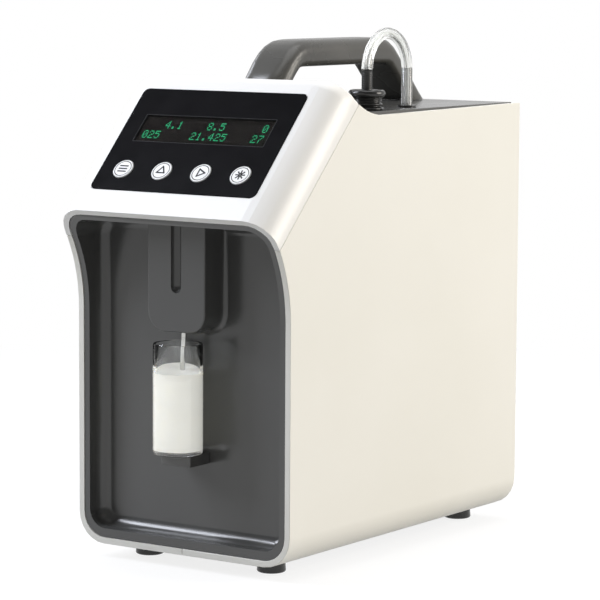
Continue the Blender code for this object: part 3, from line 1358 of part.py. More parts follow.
def make_cell(floor):
    """The ultrasonic measuring cell: a drilled block with a crystal screwed to each end."""
    middle_y = CELL_FRONT + CELL_DEPTH / 2
    top = floor + CELL_HEIGHT
    half = CELL_WIDTH / 2
    body = block((-half, CELL_FRONT, floor), (half, CELL_FRONT + CELL_DEPTH, top), CELL_EDGE, 1)
    cell = part("measuring_cell", body, ALUMINIUM)
    for side in (-1, 1):
        nipple = rod(NIPPLE_RADIUS, -NIPPLE_HEIGHT, NIPPLE_HEIGHT, steps=SMALL_TURN_STEPS)
        fuse(cell, f"nipple_{side > 0}", nipple, (side * NIPPLE_SPREAD, middle_y, top))
        crystal = turned(
            [
                (0, CRYSTAL_LENGTH + GAP),
                (CRYSTAL_RADIUS, CRYSTAL_LENGTH + GAP),
                (CRYSTAL_RADIUS, CRYSTAL_LENGTH / 2),
                (CRYSTAL_RIM, CRYSTAL_LENGTH / 2),
                (CRYSTAL_RIM, GAP),
                (0, GAP),
            ],
            ALONG_X if side > 0 else ALONG_X.inverted(),
        )
        name = "right_ultrasonic_sensor" if side > 0 else "left_ultrasonic_sensor"
        part(name, crystal, STAINLESS, (side * CELL_WIDTH / 2, middle_y, floor + CELL_HEIGHT / 2))


def make_pump():
    """The peristaltic pump: bracket, motor, head, rotor with its rollers, and the tube they press."""
    floor = WALL + GAP + BASE_THICKNESS + GAP
    left = BRACKET_X
    right = BRACKET_X + BRACKET_THICKNESS
    front = PUMP_Y - BRACKET_WIDTH / 2
    rear = PUMP_Y + BRACKET_WIDTH / 2
    outline = rounded(
        [
            (front, floor, 0),
            (rear, floor, 0),
            (rear, floor + BRACKET_HEIGHT, BRACKET_CORNER),
            (front, floor + BRACKET_HEIGHT, BRACKET_CORNER),
        ]
    )
    bracket = part("pump_bracket", plate(outline, left, right, SIDE_PLANE), ZINC_STEEL)
    foot = block((left, front, floor), (left + BRACKET_FOOT, rear, floor + BRACKET_THICKNESS))
    fuse(bracket, "bracket_foot", foot)
    axis = (0, PUMP_Y, PUMP_Z)
    cut(bracket, "shaft_hole", rod(SHAFT_HOLE, left - OVERRUN, right + OVERRUN, ALONG_X), axis)
    motor_face = left - GAP
    motor = turned(
        [
            (0, motor_face),
            (MOTOR_RADIUS, motor_face),
            (MOTOR_RADIUS, motor_face - MOTOR_LENGTH),
            (MOTOR_BOSS, motor_face - MOTOR_LENGTH),
            (MOTOR_BOSS, motor_face - MOTOR_LENGTH - BRACKET_THICKNESS),
            (0, motor_face - MOTOR_LENGTH - BRACKET_THICKNESS),
        ],
        ALONG_X,
        SMALL_TURN_STEPS * 2,
    )
    part("pump_motor", motor, ZINC_STEEL, axis)
    back = right + GAP
    head = turned(
        [
            (PUMP_INNER, back + PUMP_DEPTH),
            (PUMP_OUTER, back + PUMP_DEPTH),
            (PUMP_OUTER, back),
            (SHAFT_HOLE, back),
            (SHAFT_HOLE, back + PUMP_FLOOR),
            (PUMP_INNER, back + PUMP_FLOOR),
        ],
        ALONG_X,
    )
    pump = part("pump_head", head, BLACK_NYLON, axis)
    mouth_low = (back + PUMP_FLOOR, -PUMP_OUTER, PUMP_MOUTH)
    mouth = block(mouth_low, (back + PUMP_DEPTH * 2, PUMP_OUTER, PUMP_OUTER * 2))
    cut(pump, "pump_mouth", mouth, axis)
    plate_low = back + PUMP_FLOOR + GAP
    plate_high = plate_low + ROTOR_PLATE
    roller_low = plate_high + GAP
    roller_high = roller_low + ROLLER_LENGTH
    rotor = part(
        "pump_rotor",
        turned(
            [
                (0, roller_high),
                (ROTOR_HUB, roller_high),
                (ROTOR_HUB, plate_high),
                (ROTOR_RADIUS, plate_high),
                (ROTOR_RADIUS, plate_low),
                (ROTOR_SHAFT, plate_low),
                (ROTOR_SHAFT, left),
                (0, left),
            ],
            ALONG_X,
        ),
        BLACK_NYLON,
        axis,
    )
    for index in range(ROLLER_COUNT):
        place = Vector(axis) + Vector((0, *arm(ROLLER_TRACK, math.tau * index / ROLLER_COUNT)))
        pin = rod(ROLLER_PIN, plate_high - GAP, roller_high, ALONG_X, SMALL_TURN_STEPS)
        fuse(rotor, f"roller_pin_{index + 1}", pin, place)
        roller = turned(
            [
                (ROLLER_BORE, roller_high),
                (ROLLER_RADIUS, roller_high),
                (ROLLER_RADIUS, roller_low),
                (ROLLER_BORE, roller_low),
            ],
            ALONG_X,
            SMALL_TURN_STEPS,
        )
        part(f"pump_roller_{index + 1}", roller, ALUMINIUM, place)
    tube_x = (roller_low + roller_high) / 2
    steps = ARC_STEPS * 4
    turns = [math.pi * k / steps for k in range(steps + 1)]
    round_part = [
        (tube_x, PUMP_Y - TUBE_TRACK * math.cos(turn), PUMP_Z - TUBE_TRACK * math.sin(turn)) for turn in turns
    ]
    ends = [(tube_x, PUMP_Y + side * TUBE_TRACK, PUMP_Z + TUBE_REACH) for side in (-1, 1)]
    part("pump_tube", tube([ends[0], *round_part, ends[1]], TUBE_RADIUS), SILICONE)
    make_inner_tubes(ends)


def make_inner_tubes(pump_ends):
    """Silicone tubes from sipper to cell, cell to pump, pump to black stem and clear pipe to cell."""
    spacing = TUBE_RADIUS * 5
    cell_top = WALL + GAP * 2 + BASE_THICKNESS + CELL_HEIGHT + NIPPLE_HEIGHT + GAP
    cell_y = CELL_FRONT + CELL_DEPTH / 2
    fitting_end = Vector((0, 0, FITTING_SEAT + FITTING_HEIGHT + GAP))
    fitting_top = Vector((0, SIPPER_EXIT_Y, NOZZLE_BOTTOM)) + SIPPER_TURN @ fitting_end
    rise = SIPPER_TURN @ Vector((0, 0, OVERRUN))
    left_nipple = Vector((-NIPPLE_SPREAD, cell_y, cell_top))
    right_nipple = Vector((NIPPLE_SPREAD, cell_y, cell_top))
    straight = Vector((0, 0, OVERRUN * 2))
    over = Vector((0, (fitting_top.y + cell_y) / 2, fitting_top.z + OVERRUN * 3))
    down = [left_nipple + straight * 4, left_nipple + straight, left_nipple]
    sample = [fitting_top, fitting_top + rise, over, *down]
    part("sample_tube", tube(smooth_route(sample, spacing), TUBE_RADIUS, 2), SILICONE)
    front_end = Vector(pump_ends[0]) + Vector((0, 0, GAP))
    rear_end = Vector(pump_ends[1]) + Vector((0, 0, GAP))
    bridge = (right_nipple + front_end) / 2 + straight * 2
    to_pump = [right_nipple, right_nipple + straight, bridge, front_end + straight, front_end]
    part("cell_tube", tube(smooth_route(to_pump, spacing), TUBE_RADIUS, 2), SILICONE)
    stem_end = Vector((LOOP_X, GLAND_Y, STEM_BOTTOM - GAP))
    outlet = [rear_end, rear_end + straight, (rear_end + stem_end) / 2, stem_end - straight, stem_end]
    part("outlet_tube", tube(smooth_route(outlet, spacing), TUBE_RADIUS, 2), SILICONE)


make_side_shell("left_side_shell", -1)
make_side_shell("right_side_shell", 1)
make_head_cover()
make_bay_liner()
make_sampling_pieces()
make_panel()
make_deck()
make_handle()
make_wash_loop()
make_feet()
make_rear()
make_chassis()
make_pump()
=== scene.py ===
# Looks for the bench milk analyzer: smooth mouldings, glass and milk, rubber, clear hose and display
import json
import math

import bmesh
import bpy
from mathutils import Matrix, Vector

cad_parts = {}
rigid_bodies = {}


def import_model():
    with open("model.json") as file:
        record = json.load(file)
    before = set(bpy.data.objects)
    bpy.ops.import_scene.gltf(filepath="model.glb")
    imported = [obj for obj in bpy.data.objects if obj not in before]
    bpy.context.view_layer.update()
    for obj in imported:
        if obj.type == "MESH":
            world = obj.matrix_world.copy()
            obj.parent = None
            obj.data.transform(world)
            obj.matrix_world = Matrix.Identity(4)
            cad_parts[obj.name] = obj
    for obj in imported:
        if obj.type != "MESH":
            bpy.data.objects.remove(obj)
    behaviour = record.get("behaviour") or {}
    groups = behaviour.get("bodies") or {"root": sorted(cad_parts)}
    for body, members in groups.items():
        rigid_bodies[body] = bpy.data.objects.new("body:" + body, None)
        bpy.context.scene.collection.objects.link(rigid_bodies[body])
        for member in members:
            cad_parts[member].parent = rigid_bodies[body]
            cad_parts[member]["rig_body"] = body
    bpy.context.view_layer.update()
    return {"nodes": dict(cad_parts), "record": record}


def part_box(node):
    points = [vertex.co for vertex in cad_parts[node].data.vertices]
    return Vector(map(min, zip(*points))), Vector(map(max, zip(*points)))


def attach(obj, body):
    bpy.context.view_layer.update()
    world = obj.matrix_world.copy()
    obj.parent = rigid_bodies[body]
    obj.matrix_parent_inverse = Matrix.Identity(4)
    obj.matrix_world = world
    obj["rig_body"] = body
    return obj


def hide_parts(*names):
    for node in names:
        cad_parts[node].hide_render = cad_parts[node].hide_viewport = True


for leftover in list(bpy.data.objects):
    bpy.data.objects.remove(leftover)
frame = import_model()
mm = 0.001
shiftY, shiftZ = -93.296, 7.0  # millimetres from the photo fit's own origin to the shared frame
print("frame loaded:", len(frame["nodes"]), "CAD nodes")

# Helpers


def linear(hexColour):
    channels = [int(hexColour[i : i + 2], 16) / 255 for i in (1, 3, 5)]
    return [c / 12.92 if c <= 0.04045 else ((c + 0.055) / 1.055) ** 2.4 for c in channels] + [1]


def addNode(material, kind, settings=None, links=None):
    node = material.node_tree.nodes.new(kind)
    for name, value in (settings or {}).items():
        if name in node.inputs:
            node.inputs[name].default_value = value
        else:
            setattr(node, name, value)
    for name, source in (links or {}).items():
        material.node_tree.links.new(source, node.inputs[name])
    return node


def newMaterial(name, settings):
    material = bpy.data.materials.new(name)
    material.use_nodes = True
    shader = material.node_tree.nodes["Principled BSDF"]
    for socket, value in settings.items():
        shader.inputs[socket].default_value = value
    return material, shader


def objectCoords(material, scale=(1, 1, 1)):
    place = addNode(material, "ShaderNodeTexCoord")
    spread = addNode(material, "ShaderNodeMapping", {"Scale": scale}, {"Vector": place.outputs["Object"]})
    return spread.outputs[0]


def either(owner, first, second):
    return addNode(owner, "ShaderNodeMath", {"operation": "MAXIMUM"}, {0: first, 1: second}).outputs[0]


def noise(material, size, detail=2.0, stretch=(1, 1, 1)):
    # size is the width of one blotch in metres
    return addNode(
        material,
        "ShaderNodeTexNoise",
        {"Scale": 1 / size, "Detail": detail},
        {"Vector": objectCoords(material, stretch)},
    ).outputs["Fac"]


def mottle(material, shader, hexDark, hexLight, size):
    # colour drifts a little between two near tints
    ramp = addNode(material, "ShaderNodeValToRGB", None, {"Fac": noise(material, size)})
    ramp.color_ramp.elements[0].position = 0.3
    ramp.color_ramp.elements[0].color = linear(hexDark)
    ramp.color_ramp.elements[1].position = 0.7
    ramp.color_ramp.elements[1].color = linear(hexLight)
    material.node_tree.links.new(ramp.outputs["Color"], shader.inputs["Base Color"])


def grain(material, shader, size, height, strength, detail=2.0, stretch=(1, 1, 1)):
    # height is the depth of the texture in metres
    bump = addNode(
        material,
        "ShaderNodeBump",
        {"Strength": strength, "Distance": height},
        {"Height": noise(material, size, detail, stretch)},
    )
    material.node_tree.links.new(bump.outputs["Normal"], shader.inputs["Normal"])


def shine(material, shader, low, high, size):
    # roughness wanders between two values, as on a handled moulding
    spread = addNode(
        material,
        "ShaderNodeMapRange",
        {"From Min": 0.3, "From Max": 0.7, "To Min": low, "To Max": high},
        {"Value": noise(material, size, 3.0)},
    )
    material.node_tree.links.new(spread.outputs["Result"], shader.inputs["Roughness"])


def meshObject(name, builder):
    mesh = bpy.data.meshes.new(name)
    builder.to_mesh(mesh)
    builder.free()
    piece = bpy.data.objects.new(name, mesh)
    bpy.context.scene.collection.objects.link(piece)
    return piece


def finishPiece(piece, materials, body, replaces=(), angle=35):
    # edges sharper than the angle, in degrees, stay crisp
    for material in materials:
        piece.data.materials.append(material)
    piece.data.shade_smooth()
    piece.data.set_sharp_from_angle(angle=math.radians(angle))
    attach(piece, body)
    if replaces:
        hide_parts(*replaces)


def rectangle(builder, width, height):
    verts = bmesh.ops.create_grid(builder, x_segments=1, y_segments=1, size=0.5)["verts"]
    bmesh.ops.scale(builder, vec=(width, height, 1), verts=verts)
    return verts


def roundCorners(builder, verts, offset, segments):
    bmesh.ops.bevel(
        builder,
        geom=verts,
        offset=offset,
        segments=segments,
        profile=0.5,
        affect="VERTICES",
        material=-1,
        clamp_overlap=True,
    )


def thicken(builder, height):
    # gives flat faces a height along Z
    raised = bmesh.ops.extrude_face_region(builder, geom=builder.faces[:])["geom"]
    top = [part for part in raised if isinstance(part, bmesh.types.BMVert)]
    bmesh.ops.translate(builder, vec=(0, 0, height), verts=top)
    bmesh.ops.recalc_face_normals(builder, faces=builder.faces)


def secondMaterial(builder, chosen):
    # chosen is asked with each face's reach from Z and its height, in millimetres
    for part in builder.faces:
        middle = part.calc_center_median() / mm
        part.material_index = 1 if chosen(math.hypot(middle.x, middle.y), middle.z) else 0


def spun(builder, profile, segments, closed=False):
    # a chain of (radius, height) points in millimetres, spun about Z
    chain = [builder.verts.new((r * mm, 0, h * mm)) for r, h in profile]
    edges = [builder.edges.new(pair) for pair in zip(chain, chain[1:])]
    if closed:
        edges.append(builder.edges.new((chain[-1], chain[0])))
    bmesh.ops.spin(
        builder,
        geom=chain + edges,
        cent=(0, 0, 0),
        axis=(0, 0, 1),
        angle=math.tau,
        steps=segments,
        use_merge=True,
    )
    bmesh.ops.remove_doubles(builder, verts=builder.verts, dist=1e-7)
    bmesh.ops.recalc_face_normals(builder, faces=builder.faces)


def softEdge(piece, width):
    bevel = piece.modifiers.new("softEdge", "BEVEL")
    bevel.width = width * mm
    bevel.segments = 2
    bevel.limit_method = "ANGLE"
    bevel.angle_limit = math.radians(35)
    weighted = piece.modifiers.new("flatFaces", "WEIGHTED_NORMAL")
    weighted.keep_sharp = True


def subdivided(piece, levels):
    modifier = piece.modifiers.new("smooth", "SUBSURF")
    modifier.levels = levels
    modifier.render_levels = levels


# Materials, by the slots of the record

finishes = {}

# ABS, injection moulded and polished: clean white with a soft broad sheen and faint orange peel
whiteAbs, shader = newMaterial("whiteAbsPolished", {"Roughness": 0.3, "IOR": 1.54})
mottle(whiteAbs, shader, "#F4F3EF", "#F7F6F3", 60 * mm)
grain(whiteAbs, shader, 1.4 * mm, 0.02 * mm, 0.25)
finishes["white_abs"] = whiteAbs

# ABS, moulded with a fine spark texture: warm ivory, more matt than the head
ivoryAbs, shader = newMaterial("ivoryAbsFineTexture", {"IOR": 1.54})
mottle(ivoryAbs, shader, "#F0EEE5", "#F3F1E9", 80 * mm)
shine(ivoryAbs, shader, 0.36, 0.44, 30 * mm)
grain(ivoryAbs, shader, 0.9 * mm, 0.02 * mm, 0.3)
finishes["ivory_abs"] = ivoryAbs

# ABS, moulded dark with an even gloss: the bay blurs what it mirrors
greyAbs, shader = newMaterial("darkGreyAbsGloss", {"IOR": 1.54})
mottle(greyAbs, shader, "#515150", "#555553", 50 * mm)
shine(greyAbs, shader, 0.2, 0.24, 25 * mm)
grain(greyAbs, shader, 1.6 * mm, 0.02 * mm, 0.12)
finishes["dark_grey_abs"] = greyAbs

# ABS, moulded satin: a warm grey grip with long soft highlights
handleAbs, shader = newMaterial("handleAbsSatin", {"IOR": 1.54})
mottle(handleAbs, shader, "#4A4945", "#4F4E4A", 40 * mm)
shine(handleAbs, shader, 0.24, 0.3, 20 * mm)
grain(handleAbs, shader, 0.8 * mm, 0.02 * mm, 0.25)
finishes["handle_abs"] = handleAbs

# polyester film, reverse printed black: deep black with an even low gloss
panelFilm, shader = newMaterial("blackPolyesterFilm", {"IOR": 1.6, "Specular IOR Level": 0.03})
mottle(panelFilm, shader, "#101012", "#131315", 30 * mm)
shine(panelFilm, shader, 0.18, 0.24, 12 * mm)
grain(panelFilm, shader, 0.5 * mm, 0.01 * mm, 0.2)
finishes["panel_film"] = panelFilm

# cast acrylic, lightly smoked; its anti-glare coat is why the index is low
windowAcrylic, shader = newMaterial(
    "smokedAcrylic",
    {
        "Base Color": linear("#959290"),
        "Roughness": 0.02,
        "IOR": 1.18,
        "Specular IOR Level": 0.02,
        "Transmission Weight": 1.0,
    },
)
grain(windowAcrylic, shader, 6.0 * mm, 0.002 * mm, 0.05)
finishes["window_acrylic"] = windowAcrylic

# silicone-coated key film, printed white
keyWhite, shader = newMaterial("keyWhitePrint", {"IOR": 1.45})
mottle(keyWhite, shader, "#F2F2F0", "#F8F8F6", 4 * mm)
shine(keyWhite, shader, 0.4, 0.5, 3 * mm)
finishes["key_white"] = keyWhite

# screen-printed ink: flat black
blackInk, shader = newMaterial("blackPrintedInk", {"IOR": 1.5, "Specular IOR Level": 0.2})
mottle(blackInk, shader, "#141416", "#19191B", 3 * mm)
shine(blackInk, shader, 0.45, 0.55, 2 * mm)

# nitrile rubber, moulded: near black, with a wet-looking sheen on its rounded ribs
blackRubber, shader = newMaterial("nitrileRubberMoulded", {"IOR": 1.52})
mottle(blackRubber, shader, "#1E1E1D", "#262625", 6 * mm)
shine(blackRubber, shader, 0.16, 0.24, 5 * mm)
grain(blackRubber, shader, 0.7 * mm, 0.02 * mm, 0.15)
finishes["black_rubber"] = blackRubber

# plasticised PVC, extruded: clear but a little milky, with bright edges and long streaks
clearPvc, shader = newMaterial(
    "clearPvcExtruded",
    {"Base Color": linear("#FBFCFA"), "Roughness": 0.04, "IOR": 1.53, "Transmission Weight": 0.86},
)
grain(clearPvc, shader, 2.5 * mm, 0.02 * mm, 0.15)
finishes["clear_pvc"] = clearPvc

# borosilicate glass, drawn: thin clear wall with a fire-polished lip
vialGlass, shader = newMaterial(
    "borosilicateDrawn",
    {"Base Color": linear("#FDFEFE"), "Roughness": 0.0, "IOR": 1.473, "Transmission Weight": 1.0},
)
grain(vialGlass, shader, 9 * mm, 0.01 * mm, 0.1, 1.0, (1, 1, 0.2))
finishes["sample_glass"] = vialGlass

# whole milk: dense and slightly warm; light scatters deep in it, and a faint even glow of its own is painted
# light that brightens it behind the glass wall
milkLook, shader = newMaterial(
    "wholeMilkPaintedGlow",
    {
        "Roughness": 0.25,
        "IOR": 1.35,
        # painted light: the emission lifts the milk where the glass keeps the lamps' light off it
        "Emission Color": linear("#FFFEF6"),
        "Emission Strength": 0.36,
        "Subsurface Weight": 0.6,
        "Subsurface Radius": (1.0, 0.9, 0.7),
        "Subsurface Scale": 1.5 * mm,
    },
)
mottle(milkLook, shader, "#CFCEC8", "#D3D2CC", 8 * mm)
finishes["milk"] = milkLook

# stainless steel, drawn and polished: bright, with fine lines along the tube
stainless, shader = newMaterial("stainlessDrawn", {"Metallic": 1.0})
mottle(stainless, shader, "#C4C4C1", "#D4D4D1", 4 * mm)
shine(stainless, shader, 0.16, 0.26, 2 * mm)
grain(stainless, shader, 0.4 * mm, 0.01 * mm, 0.2, 2.0, (1, 1, 0.1))
finishes["stainless_steel"] = stainless

# mild steel, zinc plated: pale grey with a slight bluish cloud
zincSteel, shader = newMaterial("zincPlatedSteel", {"Metallic": 1.0})
mottle(zincSteel, shader, "#AEB0B2", "#BFC0C0", 5 * mm)
shine(zincSteel, shader, 0.28, 0.42, 3 * mm)
finishes["zinc_steel"] = zincSteel

# aluminium, milled
aluminium, shader = newMaterial("aluminiumMilled", {"Metallic": 1.0})
mottle(aluminium, shader, "#BFC0C2", "#CDCED0", 6 * mm)
shine(aluminium, shader, 0.25, 0.38, 2 * mm)
finishes["aluminium"] = aluminium

# glass-fibre laminate under green solder mask
circuitBoard, shader = newMaterial("greenSolderMask", {"IOR": 1.5})
mottle(circuitBoard, shader, "#14482A", "#1B5A36", 5 * mm)
shine(circuitBoard, shader, 0.3, 0.5, 4 * mm)
finishes["circuit_board"] = circuitBoard

# nylon, moulded black and satin
blackNylon, shader = newMaterial("blackNylonSatin", {"IOR": 1.53})
mottle(blackNylon, shader, "#1B1B1C", "#222223", 5 * mm)
shine(blackNylon, shader, 0.32, 0.45, 4 * mm)
grain(blackNylon, shader, 0.5 * mm, 0.02 * mm, 0.25)
finishes["black_nylon"] = blackNylon

# silicone rubber, extruded and cloudy
silicone, shader = newMaterial("siliconeExtruded", {"IOR": 1.41, "Transmission Weight": 0.4})
mottle(silicone, shader, "#D8D5CC", "#E2DFD7", 5 * mm)
shine(silicone, shader, 0.3, 0.45, 5 * mm)
finishes["silicone_tube"] = silicone

# display glass behind the window: almost black, a shade lighter than the film
displayGlass, shader = newMaterial("displayGlassDark", {"IOR": 1.5, "Specular IOR Level": 0.2})
mottle(displayGlass, shader, "#413F3E", "#474443", 20 * mm)
shine(displayGlass, shader, 0.45, 0.55, 10 * mm)

# lit dots of the display: soft green light of its own
litDots, shader = newMaterial(
    "litGreenDots",
    {
        "Base Color": linear("#0F7048"),
        "Emission Color": linear("#30CE92"),
        "Emission Strength": 3.8,
        "Roughness": 0.6,
    },
)

print("materials:", len(bpy.data.materials))

# CAD mouldings with soft edges

mouldings = {  # widths of the rounded edges, in millimetres
    "head_cover": 0.45,
    "left_side_shell": 0.7,
    "right_side_shell": 0.7,
    "bay_liner": 0.8,
    "top_deck": 0.3,
    "rear_panel": 0.3,
    "cup_shelf": 0.5,
    "control_panel": 0.1,
    "display_window": 0.04,
    "power_switch": 0.25,
    "power_rocker": 0.2,
}
keyNodes = ("menu_key", "up_key", "next_key", "start_key")
rebuilt = {"sample_glass", "milk_sample", "sipper_tube", "carry_handle", "data_port", "power_inlet"}
rebuilt |= {"rubber_gland", "black_stem_tube", "clear_hose_loop", "clear_pipe", *keyNodes}
screwNodes = [name for name in frame["nodes"] if "screw" in name]
footNodes = [name for name in frame["nodes"] if name.startswith("foot_") and "screw" not in name]


def smoothCopy(node, slot, width):
    # a merged copy of the CAD mesh, with smooth shading and soft edges, stands for the node
    source = frame["nodes"][node]
    builder = bmesh.new()
    builder.from_mesh(source.data)
    bmesh.ops.remove_doubles(builder, verts=builder.verts, dist=2e-6)
    bmesh.ops.dissolve_limit(
        builder,
        angle_limit=math.radians(0.1),
        use_dissolve_boundaries=False,
        verts=builder.verts,
        edges=builder.edges,
    )
    piece = meshObject(node + "Moulded", builder)
    piece.data.materials.clear()
    finishPiece(piece, [finishes[slot]], source["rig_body"], [node])
    if width:
        softEdge(piece, width)


slotOf = {row["node"]: row["material_slot"] for row in frame["record"]["subparts"]}
for node, slot in slotOf.items():
    if node not in rebuilt and node not in screwNodes and node not in footNodes:
        smoothCopy(node, slot, mouldings.get(node, 0))
print("mouldings done")

# Feet and screws

foot = {"radius": 7.0, "top": 6.6, "height": 6.7, "edge": 0.9, "soft": 0.25}
foot |= {"recess": 3.6, "recessDepth": 3.0, "hole": 1.6}


def makeFoot(node):
    low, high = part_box(node)
    builder = bmesh.new()
    profile = [
        (foot["hole"], foot["height"]),
        (foot["top"], foot["height"]),
        (foot["radius"], foot["edge"]),
        (foot["radius"] - foot["edge"] * 0.3, foot["edge"] * 0.3),
        (foot["radius"] - foot["edge"], 0),
        (foot["recess"], 0),
        (foot["recess"], foot["recessDepth"]),
        (foot["hole"], foot["recessDepth"]),
    ]
    spun(builder, profile, 48, closed=True)
    place = ((low.x + high.x) / 2, (low.y + high.y) / 2, low.z)
    bmesh.ops.translate(builder, vec=place, verts=builder.verts)
    piece = meshObject(node + "Rubber", builder)
    finishPiece(piece, [blackRubber], frame["nodes"][node]["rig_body"], [node])
    softEdge(piece, foot["soft"])


screw = {"head": 3.0, "headHeight": 1.8, "shank": 1.25, "neck": 0.3, "point": 1.0}
screw |= {"cross": 0.55, "crossReach": 1.75, "crossDepth": 0.9}


def makeScrew(node):
    low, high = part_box(node)
    size = high - low
    rear = node.startswith("rear_screw")
    length = (size.y if rear else size.z) / mm - screw["headHeight"]
    builder = bmesh.new()
    head, top, shank, neck = (screw[name] for name in ("head", "headHeight", "shank", "neck"))
    profile = [(0, top), (head * 0.45, top * 0.97), (head * 0.75, top * 0.8), (head * 0.95, top * 0.45)]
    profile += [(head, neck), (shank, neck), (shank, screw["point"] - length), (0, -length)]
    spun(builder, profile, 32)
    middle = (low + high) / 2
    if rear:
        turn = Matrix.Rotation(math.radians(-90), 4, "X")
        place = Vector((middle.x, high.y - top * mm, middle.z))
    else:
        turn = Matrix.Rotation(math.pi, 4, "X")
        place = Vector((middle.x, middle.y, low.z + top * mm))
    bmesh.ops.transform(builder, matrix=Matrix.Translation(place) @ turn, verts=builder.verts)
    piece = meshObject(node + "CrossHead", builder)
    finishPiece(piece, [zincSteel], frame["nodes"][node]["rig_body"], [node])
    # the cross recess is cut by two crossed blades
    blades = bmesh.new()
    bladeSize = Vector((screw["crossReach"] * 2, screw["cross"], screw["crossDepth"] * 2)) * mm
    for turnBy in (0, 90):
        blade = bmesh.ops.create_cube(blades, size=1)["verts"]
        bmesh.ops.scale(blades, vec=bladeSize, verts=blade)
        quarter = Matrix.Rotation(math.radians(turnBy), 3, "Z")
        bmesh.ops.rotate(blades, cent=(0, 0, 0), matrix=quarter, verts=blade)
        bmesh.ops.translate(blades, vec=(0, 0, top * mm), verts=blade)
    bmesh.ops.transform(blades, matrix=Matrix.Translation(place) @ turn, verts=blades.verts)
    cutter = meshObject(node + "Blades", blades)
    cut = piece.modifiers.new("crossRecess", "BOOLEAN")
    cut.operation = "DIFFERENCE"
    cut.object = cutter
    cut.use_self = True
    bpy.context.view_layer.update()
    cutMesh = bpy.data.meshes.new_from_object(piece.evaluated_get(bpy.context.evaluated_depsgraph_get()))
    piece.modifiers.clear()
    piece.data = cutMesh
    bpy.data.objects.remove(cutter)


for node in footNodes:
    makeFoot(node)
for node in screwNodes:
    makeScrew(node)
print("feet and screws done")

# Sample glass, milk and sipper

vial = {"radius": 11.9, "wall": 0.8, "height": 52.8, "base": 1.8, "lip": 0.55, "rim": 0.15}
glassLow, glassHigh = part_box("sample_glass")
glassFoot = Vector(((glassLow.x + glassHigh.x) / 2, (glassLow.y + glassHigh.y) / 2, glassLow.z))


def makeVial():
    outer, top, base, lip, rim = (vial[name] for name in ("radius", "height", "base", "lip", "rim"))
    inner = outer - vial["wall"]
    builder = bmesh.new()
    profile = [(0, base), (inner - 2.2, base), (inner - 0.9, base + 0.25), (inner - 0.2, base + 1.0)]
    profile += [(inner, base + 2.2), (inner, top * 0.5), (inner, top - lip), (inner + rim, top - rim)]
    profile += [(inner + lip, top), (outer - rim, top - rim), (outer, top - lip), (outer, top * 0.5)]
    profile += [(outer, 1.6), (outer - 0.25, 0.6), (outer - 1.0, 0.05), (outer - 2.4, 0.1), (0, 0.25)]
    spun(builder, profile, 96)
    bmesh.ops.translate(builder, vec=glassFoot, verts=builder.verts)
    piece = meshObject("drawnSampleGlass", builder)
    finishPiece(piece, [vialGlass], "glass_body", ["sample_glass"], 60)


# the milk reaches a hair into the glass wall, so that no air shows between the two
milk = {"overlap": 0.04, "meniscus": 0.7, "lift": 0.02}
milkTop = (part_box("milk_sample")[1].z - glassLow.z) / mm


def makeMilk():
    radius = vial["radius"] - vial["wall"] + milk["overlap"]
    low = vial["base"] + milk["lift"]
    level = milkTop - milk["meniscus"]
    builder = bmesh.new()
    profile = [(0, level), (radius - 2.4, level), (radius - 1.0, milkTop - milk["meniscus"] * 0.7)]
    profile += [(radius, milkTop), (radius, low + 2.2), (radius - 0.2, low + 1.0)]
    profile += [(radius - 0.9, low + 0.25), (radius - 2.2, low), (0, low)]
    spun(builder, profile, 96)
    bmesh.ops.translate(builder, vec=glassFoot, verts=builder.verts)
    piece = meshObject("milkInGlass", builder)
    finishPiece(piece, [milkLook], "glass_body", ["milk_sample"], 50)


sipper = {"radius": 1.3, "bore": 0.9, "tip": 0.15, "above": 12.0, "below": 50.0, "lean": math.atan(0.064)}
sipper |= {"exit": (0, 1.7 + shiftY, 107.4 + shiftZ)}


def makeSipper():
    builder = bmesh.new()
    outer, bore, top, low = sipper["radius"], sipper["bore"], sipper["above"], -sipper["below"]
    profile = [(bore, top), (outer, top), (outer, low + 0.4), (outer - sipper["tip"], low), (bore, low)]
    spun(builder, profile, 40, closed=True)
    turn = Matrix.Rotation(-sipper["lean"], 4, "X")
    place = Matrix.Translation(Vector(sipper["exit"]) * mm)
    bmesh.ops.transform(builder, matrix=place @ turn, verts=builder.verts)
    piece = meshObject("drawnSipper", builder)
    finishPiece(piece, [stainless], "case", ["sipper_tube"], 50)


makeVial()
makeMilk()
makeSipper()
print("glass, milk and sipper done")

# Wash loop on the deck

loop = {"x": 47.0, "glandY": 85.57 + shiftY, "pipeY": 121.37 + shiftY, "deck": 217.31, "centre": 236.01}
loop |= {"stemLow": 193.0, "pipeLow": 197.0}
gland = [  # (radius, height above the deck), from the bore over the ring, down the ribs and through the deck
    (2.9, 9.0), (3.4, 9.3), (5.2, 9.3), (6.6, 9.85), (8.0, 9.8), (8.9, 9.0), (9.15, 7.9), (8.8, 6.8),
    (7.9, 6.1), (7.1, 5.9), (6.9, 5.6), (7.4, 5.3), (7.4, 5.0), (6.8, 4.7), (7.3, 4.4), (7.3, 4.1),
    (6.7, 3.8), (7.1, 3.4), (7.8, 3.0), (7.8, 2.5), (6.8, 2.1), (6.6, 1.8), (7.4, 1.5), (8.3, 1.2),
    (8.6, 0.8), (8.4, 0.3), (7.6, 0.25), (5.6, 0.25), (5.6, -3.3), (7.0, -3.5), (6.4, -4.6), (5.3, -6.4),
    (2.9, -6.4),
]


def makeGland():
    builder = bmesh.new()
    spun(builder, gland, 48, closed=True)
    place = Vector((loop["x"], loop["glandY"], loop["deck"])) * mm
    bmesh.ops.translate(builder, vec=place, verts=builder.verts)
    piece = meshObject("ribbedGland", builder)
    finishPiece(piece, [blackRubber], "case", ["rubber_gland"], 80)
    subdivided(piece, 2)


stem = {"radius": 2.6, "groove": 2.53, "groovePitch": 1.1, "spigot": 0.8, "spigotHeight": 1.6, "above": 0.5}


